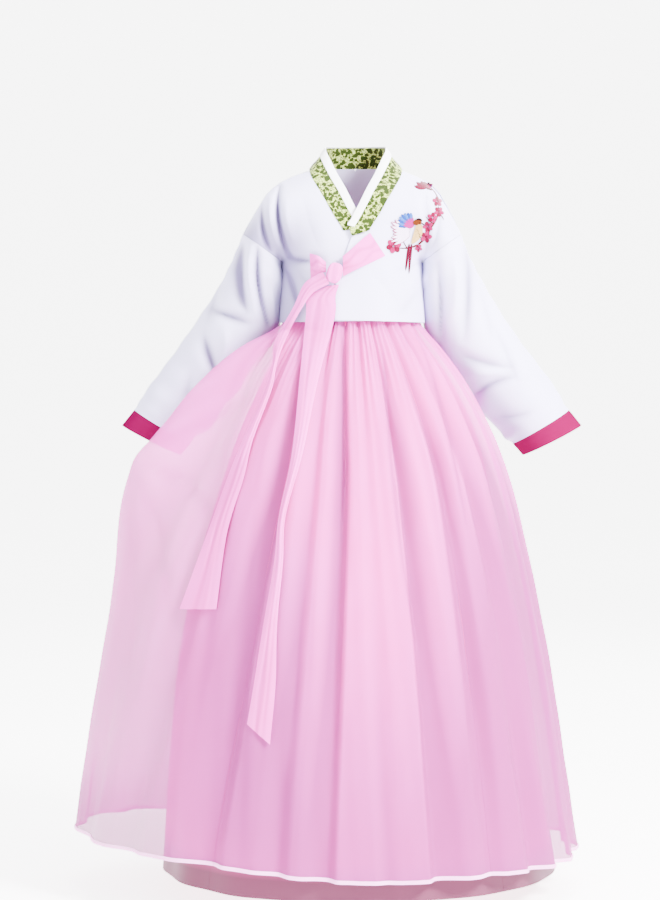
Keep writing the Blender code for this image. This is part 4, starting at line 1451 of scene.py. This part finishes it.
def lining_painted_shade(u: Array, v: Array, points: Array) -> Array:
    """Painted shade on the lining: dark below the skirt's hem, and a little where it falls back beside the
    held side.

    Args:
        u: Share of the panel's width; not used.
        v: Share of its length; not used.
        points: Each point's place.

    Returns:
        The painted shade, from 0 to 1.
    """
    recess = near(direction(points), RECESS_ANGLE, 26, 18) * smooth((-0.40 - points[:, 2]) / 0.14)
    return np.maximum(smooth((-0.862 - points[:, 2]) / 0.020), 0.30 * recess)


@dataclass
class Skirt:
    """The organza skirt: three panels, gathered at the top, with a rolled hem."""

    rows: int = 100
    top: float = SKIRT_TOP_Z
    hem: float = SKIRT_HEM_Z

    def point(self, degrees: Array, z: Array) -> Array:
        """The outer face of the skirt."""
        turn = np.radians(degrees)
        radius = skirt_radius(degrees, z) - skirt_detail(degrees, z) * smooth((-0.150 - z) / 0.04)
        facing = np.where(degrees > 360, degrees - 360, degrees)
        held = smooth((270 - facing) / 25) * smooth((facing - 165) / 15)
        x, y = radius * np.cos(turn), radius * np.sin(turn)
        radius = radius - held * pressed(x, z, HAND_FOLDS) - pleated(x, y, z)
        x, y = radius * np.cos(turn), skirt_middle(z) + radius * np.sin(turn)
        return np.stack([x, y, z + hem_lift(degrees, z)], axis=1)

    def strip(self, start: Line, end: Line, top: float, hem: float, out: float) -> Shape:
        """The face of a panel, or of a strip of it.

        Args:
            start: The angle of its first seam at each height.
            end: The angle of its last seam.
            top: The height of its upper edge.
            hem: The height of its lower edge.
            out: How far it stands out, as for a rolled hem.

        Returns:
            Its face.
        """

        def shape(u: Array, v: Array) -> Array:
            z = top + (hem - top) * v
            first, last = start(z) + VISIBLE_GAP, end(z) - VISIBLE_GAP
            points = self.point(first + (last - first) * u, z)
            if out == 0:
                return points
            away = points - inside_skirt(points)
            away /= np.linalg.norm(away, axis=1, keepdims=True)
            return points + away * (out + 0.6 * out * np.sin(np.pi * v))[:, None]

        return shape

    def build(self) -> list[Cloth]:
        """Builds the three panels and their rolled hems."""
        seams: tuple[Line, ...] = (
            lambda z: np.full(np.shape(z), 90.0),
            lambda z: fold_at(12, z),
            lambda z: fold_at(17, z),
            lambda z: np.full(np.shape(z), 450.0),
        )
        made = []
        for side, start, end, columns, width in (
            ("right", seams[0], seams[1], 284, 0.85),
            ("front", seams[1], seams[2], 220, 0.36),
            ("left", seams[2], seams[3], 284, 0.75),
        ):
            made.append(
                Cloth(
                    f"skirt_{side}_cloth",
                    "skirt_pink",
                    ORGANZA,
                    self.strip(start, end, self.top, self.hem, 0.0),
                    inside_skirt,
                    columns,
                    self.rows,
                    (width, 0.79),
                    Hang.GATHERED,
                    (f"skirt_{side}",),
                    wall=0.0007,
                    painted_shade=skirt_painted_shade,
                    trim=(f"skirt_hem_{side}",),
                ).build()
            )
            Cloth(
                f"skirt_hem_{side}",
                "skirt_pink",
                ROLLED_HEM,
                self.strip(start, end, self.hem + HEM_ROLL, self.hem, 0.0010),
                inside_skirt,
                columns,
                4,
                (width, HEM_ROLL),
                Hang.GATHERED,
                (),
                wall=0.0018,
            ).build()
        return made


def inside_skirt(centres: Array) -> Array:
    """The skirt's middle line at the height of each point."""
    return np.stack([np.zeros(len(centres)), skirt_middle(centres[:, 2]), centres[:, 2]], axis=1)


@dataclass
class Lining:
    """The satin underskirt of three panels, and the chest band that both skirts hang from."""

    rows: int = 70
    top: float = SKIRT_TOP_Z
    hem: float = LINING_HEM_Z
    band_top: float = -0.0720
    band_foot: float = -0.1195

    def point(self, degrees: Array, z: Array) -> Array:
        """The outer face of the lining."""
        turn = np.radians(degrees)
        left, right, front, back = (read(LINING, column, z) for column in range(1, 5))
        side = np.where(np.cos(turn) > 0, left, right)
        radius = oval(turn, side, front, back)
        down = smooth((-0.24 - z) / 0.25)
        slow = np.sin(9 * turn + 5 * z) * np.sin(5 * turn - 4 * z)
        wave = 0.0015 * np.cos(16 * turn) + 0.0014 * down * slow
        radius = radius - wave
        return np.stack([radius * np.cos(turn), skirt_middle(z) + radius * np.sin(turn), z], axis=1)

    def build(self) -> list[Cloth]:
        """Builds the lining's panels and the chest band."""
        made = [
            Cloth(
                f"lining_{side}_cloth",
                "lining_pink",
                LINING_SATIN,
                self.panel(first, last),
                inside_skirt,
                160,
                self.rows,
                (width, 0.80),
                Hang.GATHERED,
                (f"lining_{side}",),
                wall=0.0008,
                painted_shade=lining_painted_shade,
            ).build()
            for side, first, last, width in (
                ("right", 90, 225, 0.50),
                ("front", 225, 315, 0.36),
                ("left", 315, 450, 0.52),
            )
        ]
        made.append(self.band())
        return made

    def panel(self, first: float, last: float) -> Shape:
        """The face of a panel between two angles."""

        def shape(u: Array, v: Array) -> Array:
            degrees = first + VISIBLE_GAP + (last - first - 2 * VISIBLE_GAP) * u
            return self.point(degrees, self.top + (self.hem - self.top) * v)

        return shape

    def band(self) -> Cloth:
        """The flat chest band, open at the back, with a line of quilting near each edge."""

        def shape(u: Array, v: Array) -> Array:
            z = self.band_top + (self.band_foot - self.band_top) * v
            turn = np.radians(91.0 + 358.0 * u)
            row = SKIRT[0]
            radius = oval(turn, row.side, row.front, row.back) * (0.985 + 0.015 * v)
            stitched = np.exp(-(((v - 0.12) / 0.03) ** 2)) + np.exp(-(((v - 0.88) / 0.03) ** 2))
            radius = radius - 0.0006 * stitched
            y = skirt_middle(z) + radius * np.sin(turn)
            return np.stack([radius * np.cos(turn), y, z], axis=1)

        return Cloth(
            "skirt_band_cloth",
            "lining_pink",
            BAND_COTTON,
            shape,
            inside_skirt,
            260,
            24,
            (0.50, 0.048),
            Hang.STRETCHED,
            ("skirt_band",),
            wall=0.0026,
        ).build()


# ---------------------------------------------------------------- embroidery
@dataclass(frozen=True)
class Thread(Finish):
    """Embroidery silk: one colour with the fine ribs of stitches laid side by side."""

    def weave(self, tree: bpy.types.NodeTree) -> Socket:
        """Ribs across each stitched shape."""
        place = node(tree, "TexCoord", {}).outputs["UV"]
        wave = node(tree, "TexWave", {"Scale": self.thread / 20, "Distortion": 1.2, "Vector": place})
        return bump(tree, wave.outputs["Fac"], self.relief)


class Silk(Enum):
    """The embroidery's threads."""

    TWIG = Thread("silk_twig", (0.085, 0.012, 0.018), (0.050, 0.010, 0.009), 0.5, 0.1, 2600, 0.6)
    PETAL = Thread("silk_petal", (0.130, 0.002, 0.026), (0.095, 0.001, 0.018), 0.45, 0.1, 2600, 0.6)
    PALE = Thread("silk_pale", (0.26, 0.006, 0.080), (0.21, 0.004, 0.060), 0.45, 0.1, 2600, 0.6)
    DEEP = Thread("silk_deep", (0.070, 0.001, 0.012), (0.050, 0.001, 0.009), 0.45, 0.1, 2600, 0.6)
    BLUE = Thread("silk_blue", (0.014, 0.050, 0.28), (0.010, 0.038, 0.22), 0.45, 0.1, 2600, 0.6)
    SKY = Thread("silk_sky", (0.040, 0.110, 0.38), (0.030, 0.090, 0.32), 0.45, 0.1, 2600, 0.6)
    ROSE = Thread("silk_rose", (0.30, 0.008, 0.16), (0.25, 0.006, 0.13), 0.45, 0.1, 2600, 0.6)
    WHITE = Thread("silk_white", (0.80, 0.66, 0.90), (0.70, 0.56, 0.80), 0.45, 0.1, 2600, 0.5)
    CREAM = Thread("silk_cream", (0.50, 0.34, 0.13), (0.40, 0.25, 0.09), 0.5, 0.1, 2600, 0.6)
    ORANGE = Thread("silk_orange", (0.110, 0.028, 0.006), (0.075, 0.016, 0.004), 0.5, 0.1, 2600, 0.6)
    DARK = Thread("silk_dark", (0.010, 0.004, 0.005), (0.007, 0.003, 0.004), 0.5, 0.1, 2600, 0.6)


class Stroke(NamedTuple):
    """One stitched shape: a bent spine with a half width at its start, middle and end, and its layer."""

    silk: Silk
    start: Point
    bend: Point
    end: Point
    widths: tuple[float, float, float]
    layer: int


def turned(at: Point, radius: float, degrees: float) -> Point:
    """The point at a distance and direction from another, seen from the front."""
    angle = math.radians(degrees)
    return Point(at.x + radius * math.cos(angle), at.z + radius * math.sin(angle))


@dataclass
class Embroidery:
    """A small bird on a blossoming twig, stitched in silk on the left chest."""

    jacket: Jacket
    twig: tuple[tuple[Point, Point, Point, float, float], ...] = (
        (Point(0.1035, -0.0140), Point(0.1150, -0.0230), Point(0.1135, -0.0400), 0.0007, 0.0011),
        (Point(0.1135, -0.0400), Point(0.1140, -0.0560), Point(0.1020, -0.0700), 0.0011, 0.0014),
        (Point(0.1020, -0.0700), Point(0.0960, -0.0850), Point(0.0860, -0.0910), 0.0014, 0.0014),
        (Point(0.0860, -0.0910), Point(0.0740, -0.0980), Point(0.0580, -0.0955), 0.0013, 0.0006),
        (Point(0.1060, -0.0640), Point(0.1000, -0.0600), Point(0.0960, -0.0545), 0.0010, 0.0006),
        (Point(0.0720, -0.0958), Point(0.0680, -0.0905), Point(0.0660, -0.0860), 0.0009, 0.0005),
        (Point(0.1120, -0.0480), Point(0.1180, -0.0520), Point(0.1200, -0.0580), 0.0009, 0.0005),
    )
    blossoms: tuple[tuple[Point, float, float, int], ...] = (
        (Point(0.1125, -0.0335), 0.0074, 20.0, 5),
        (Point(0.1140, -0.0475), 0.0072, 55.0, 5),
        (Point(0.1050, -0.0560), 0.0074, 5.0, 5),
        (Point(0.0990, -0.0680), 0.0072, 35.0, 5),
        (Point(0.0965, -0.0810), 0.0082, 70.0, 5),
        (Point(0.0540, -0.0935), 0.0102, 12.0, 6),
        (Point(0.0870, -0.0955), 0.0054, 48.0, 5),
    )

    def strokes(self) -> list[Stroke]:
        """All the stitched shapes, in the order they are laid."""
        made = [Stroke(Silk.TWIG, a, b, c, (w, (w + e) / 2, e), 0) for a, b, c, w, e in self.twig]
        for at, size, turn, count in self.blossoms:
            made += self.blossom(at, size, turn, count)
        made += self.lotus(Point(0.0985, -0.0155))
        made += self.bird()
        return made

    def blossom(self, at: Point, size: float, turn: float, count: int) -> list[Stroke]:
        """A flower of rounded petals, each with a dark line at its root."""
        made = []
        wide = size * 0.36
        for k in range(count):
            way = turn + 360.0 / count * k
            petal = (turned(at, size * share, way + lean) for share, lean in ((0.12, 0), (0.6, 5), (1, 0)))
            silk = Silk.PETAL if k % 2 else Silk.PALE
            made.append(Stroke(silk, *petal, (wide * 0.4, wide, wide * 0.35), 1))
            line = (turned(at, size * share, way) for share in (0.05, 0.3, 0.5))
            made.append(Stroke(Silk.DEEP, *line, (0.0004, 0.0003, 0.0002), 2))
        return made

    def lotus(self, at: Point) -> list[Stroke]:
        """The open flower at the twig's top, seen from its side."""
        made = []
        for way, size in ((172, 0.017), (150, 0.016), (126, 0.0125), (98, 0.0105), (66, 0.0095), (34, 0.01)):
            silk = Silk.PALE if way == 34 else Silk.PETAL
            bend, tip = turned(at, size * 0.6, way + 8), turned(at, size, way)
            made.append(Stroke(silk, at, bend, tip, (0.0008, 0.0031, 0.0005), 1))
        bend, tip = Point(at.x + 0.004, at.z - 0.001), Point(at.x + 0.0078, at.z - 0.0022)
        made.append(Stroke(Silk.TWIG, at, bend, tip, (0.0016, 0.0011, 0.0008), 2))
        return made

    def bird(self) -> list[Stroke]:
        """The bird: a fan of a tail, one raised wing, two long plumes, its body and its head."""
        return [*self.tail(Point(0.0800, -0.0760)), *self.wing(Point(0.0790, -0.0690)), *self.body()]

    def tail(self, root: Point) -> list[Stroke]:
        """The fan: each feather is white with a pale edge."""
        made = []
        for k, way in enumerate(np.linspace(146, 212, 8)):
            size = 0.0300 + 0.0030 * math.sin(k * 1.3)
            start, bend = turned(root, 0.005, way), turned(root, size * 0.62, way + 3)
            made.append(Stroke(Silk.PALE, start, bend, turned(root, size, way), (0.0010, 0.0027, 0.0012), 1))
            tip = turned(root, size - 0.0012, way)
            made.append(Stroke(Silk.WHITE, start, bend, tip, (0.0006, 0.0020, 0.0006), 2))
        return made

    def wing(self, root: Point) -> list[Stroke]:
        """The raised wing: long feathers in two blues over short rose ones."""
        made = []
        for k, way in enumerate(np.linspace(98, 176, 8)):
            size = 0.0235 - 0.0012 * abs(k - 3.5)
            feather = turned(root, 0.008, way), turned(root, size * 0.7, way + 2), turned(root, size, way)
            made.append(Stroke(Silk.BLUE if k % 2 else Silk.SKY, *feather, (0.0012, 0.0022, 0.0010), 3))
        for way in np.linspace(92, 168, 6):
            bend, tip = turned(root, 0.008, way + 4), turned(root, 0.0130, way)
            made.append(Stroke(Silk.ROSE, root, bend, tip, (0.0010, 0.0021, 0.0007), 4))
        return made

    def body(self) -> list[Stroke]:
        """The plumes, the speckled body, and the head with its cap, beak and eye."""
        made = []
        for silk, x0, z0, x1, z1, x2, z2, first, middle, last, layer in (
            (Silk.DEEP, 0.0745, -0.0900, 0.0725, -0.1080, 0.0700, -0.1250, 0.0013, 0.0017, 0.0008, 2),
            (Silk.DEEP, 0.0780, -0.0900, 0.0760, -0.1080, 0.0745, -0.1290, 0.0013, 0.0017, 0.0008, 2),
            (Silk.CREAM, 0.0865, -0.0640, 0.0895, -0.0765, 0.0775, -0.0900, 0.0032, 0.0055, 0.0018, 5),
            (Silk.ORANGE, 0.0795, -0.0650, 0.0850, -0.0600, 0.0905, -0.0640, 0.0022, 0.0042, 0.0026, 6),
            (Silk.DARK, 0.0830, -0.0592, 0.0875, -0.0572, 0.0915, -0.0605, 0.0006, 0.0015, 0.0007, 7),
            (Silk.DARK, 0.0905, -0.0640, 0.0935, -0.0648, 0.0960, -0.0668, 0.0010, 0.0007, 0.0002, 7),
            (Silk.DARK, 0.0872, -0.0632, 0.0878, -0.0632, 0.0884, -0.0632, 0.0005, 0.0006, 0.0005, 8),
        ):
            spine = Point(x0, z0), Point(x1, z1), Point(x2, z2)
            made.append(Stroke(silk, *spine, (first, middle, last), layer))
        for k in range(4):
            x, z = 0.0838 + 0.0016 * k, -0.0715 - 0.0042 * k
            speck = Point(x, z), Point(x + 0.0022, z - 0.0012), Point(x + 0.0030, z - 0.0038)
            made.append(Stroke(Silk.DARK, *speck, (0.0002, 0.0004, 0.0002), 6))
        return made

    def patch(self, stroke: Stroke) -> bpy.types.Object:
        """Builds one stitched shape on the jacket's surface, crowned along its spine."""
        piece, u, v = grid("patch", 18, 6)
        v = 2 * v - 1
        a, b, c = (1 - u) ** 2, 2 * u * (1 - u), u * u
        start, bend, end = stroke.start, stroke.bend, stroke.end
        dx = (1 - u) * (bend.x - start.x) + u * (end.x - bend.x)
        dz = (1 - u) * (bend.z - start.z) + u * (end.z - bend.z)
        run = np.maximum(np.hypot(dx, dz), 1e-9)
        first, middle, last = stroke.widths
        half = a * first + b * (2 * middle - (first + last) / 2) + c * last
        half = half * np.sqrt(np.clip(1 - (2 * u - 1) ** 8, 0.02, 1))
        x = a * start.x + b * bend.x + c * end.x - dz / run * half * v
        z = a * start.z + b * bend.z + c * end.z + dx / run * half * v
        y = self.jacket.left_front(x, z) - 0.0006 - 0.00025 * stroke.layer - 0.0005 * (1 - v * v)
        put(piece.data.vertices, "co", np.stack([x, y, z], axis=1))
        scale_uv(piece.data, (math.hypot(end.x - start.x, end.z - start.z), 2 * middle))
        piece.data.update()
        if values(piece.data.polygons, "normal", 3)[:, 1].sum() > 0:
            edit(piece, bpy.ops.mesh.flip_normals)
        return piece

    def build(self) -> None:
        """Builds the motif, with one piece for each thread."""
        strokes = self.strokes()
        for silk in Silk:
            patches = [self.patch(stroke) for stroke in strokes if stroke.silk is silk]
            deselect()
            for patch in patches:
                patch.select_set(True)
            bpy.context.view_layer.objects.active = patches[0]
            if len(patches) > 1:
                bpy.ops.object.join()
            piece = bpy.context.active_object
            piece.name = "embroidery_" + silk.name.lower()
            solid = piece.modifiers.new("wall", "SOLIDIFY")
            solid.thickness = 0.0005
            solid.offset = -1.0
            bpy.ops.object.modifier_apply(modifier=solid.name)
            bpy.ops.object.shade_smooth_by_angle(angle=math.radians(60))
            dress(piece, silk.value, ())


# ---------------------------------------------------------------- studio
@dataclass(frozen=True)
class Studio:
    """The pale room, its soft lights and the camera."""

    floor_z: float = -0.9352
    view: tuple[float, float, float] = (-0.0293, -3.5, -0.23)
    lens: float = 105.0
    drop: float = -0.1105
    room_scale: float = 2.4

    def build(self) -> None:
        """Builds the floor, the lights, the sky and the camera."""
        self.floor()
        self.light("key", (1.9, -1.7, 1.3), 0.9, 640)
        self.light("fill", (-2.2, -2.6, 0.7), 2.0, 110)
        self.light("top", (0.2, -0.4, 2.4), 1.4, 170)
        self.light("back", (0.6, 2.2, 1.2), 2.0, 90)
        world = bpy.data.worlds.new("room")
        world.use_nodes = True
        sky = {"Color": (1.0, 1.0, 1.0, 1), "Strength": 1.35}
        fill(world.node_tree, world.node_tree.nodes["Background"], sky)
        bpy.context.scene.world = world
        data = bpy.data.cameras.new("camera")
        data.lens, data.sensor_fit = self.lens, "VERTICAL"
        data.sensor_width = data.sensor_height = 36.0
        data.shift_y = self.drop
        camera = bpy.data.objects.new("camera", data)
        bpy.context.scene.collection.objects.link(camera)
        camera.location = self.view
        camera.rotation_euler = (math.radians(90), 0, 0)
        bpy.context.scene.camera = camera

    def floor(self) -> None:
        """A wide pale floor that curves up behind."""
        piece, u, v = grid("floor", 4, 60)
        x, run = (u - 0.5) * 14, v * 12 - 5
        bend = np.clip((run - 2.2) / 2.4, 0, 1) * math.pi / 2
        y = np.where(run < 2.2, run, 2.2 + 1.5 * np.sin(bend))
        z = np.where(run < 2.2, 0, 1.5 * (1 - np.cos(bend))) + np.clip(run - 4.6, 0, None)
        points = np.stack([x, y, z], axis=1) * self.room_scale + (0, 0, self.floor_z)
        put(piece.data.vertices, "co", points)
        piece.data.update()
        bpy.ops.object.shade_smooth()
        paint = bpy.data.materials.new("floor_paint")
        paint.use_nodes = True
        sockets = {
            "Base Color": (0.93, 0.93, 0.93, 1),
            "Roughness": 0.9,
            "Emission Color": (1.0, 1.0, 1.0, 1),
            "Emission Strength": 4.2,
        }
        fill(paint.node_tree, paint.node_tree.nodes["Principled BSDF"], sockets)
        piece.data.materials.append(paint)

    def light(self, name: str, place: tuple[float, float, float], size: float, watts: float) -> None:
        """Adds one soft square light that looks at the dress.

        Args:
            name: The light's name.
            place: Where it is.
            size: Its side.
            watts: Its power.
        """
        data = bpy.data.lights.new(name, "AREA")
        data.size, data.energy = size, watts
        lamp = bpy.data.objects.new(name, data)
        bpy.context.scene.collection.objects.link(lamp)
        lamp.location = place
        x, y, z = np.array((0.0, 0.0, -0.40)) - np.array(place)
        tilt = math.acos(-z / math.sqrt(x * x + y * y + z * z))
        lamp.rotation_euler = (tilt, 0, math.atan2(y, x) - math.pi / 2)


# ---------------------------------------------------------------- main
def main() -> None:
    """Dresses the frame and sets up the view."""
    logging.basicConfig(level=logging.INFO, format="%(message)s")
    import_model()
    cloths = []
    jacket = Jacket()
    for assembly in (Lining(), Skirt(), jacket, Sleeves(), Collar(), Ribbon()):
        cloths += assembly.build()
    Embroidery(jacket).build()
    for cloth in cloths:
        cloth.declare()
    Studio().build()


if __name__ == "__main__":
    main()
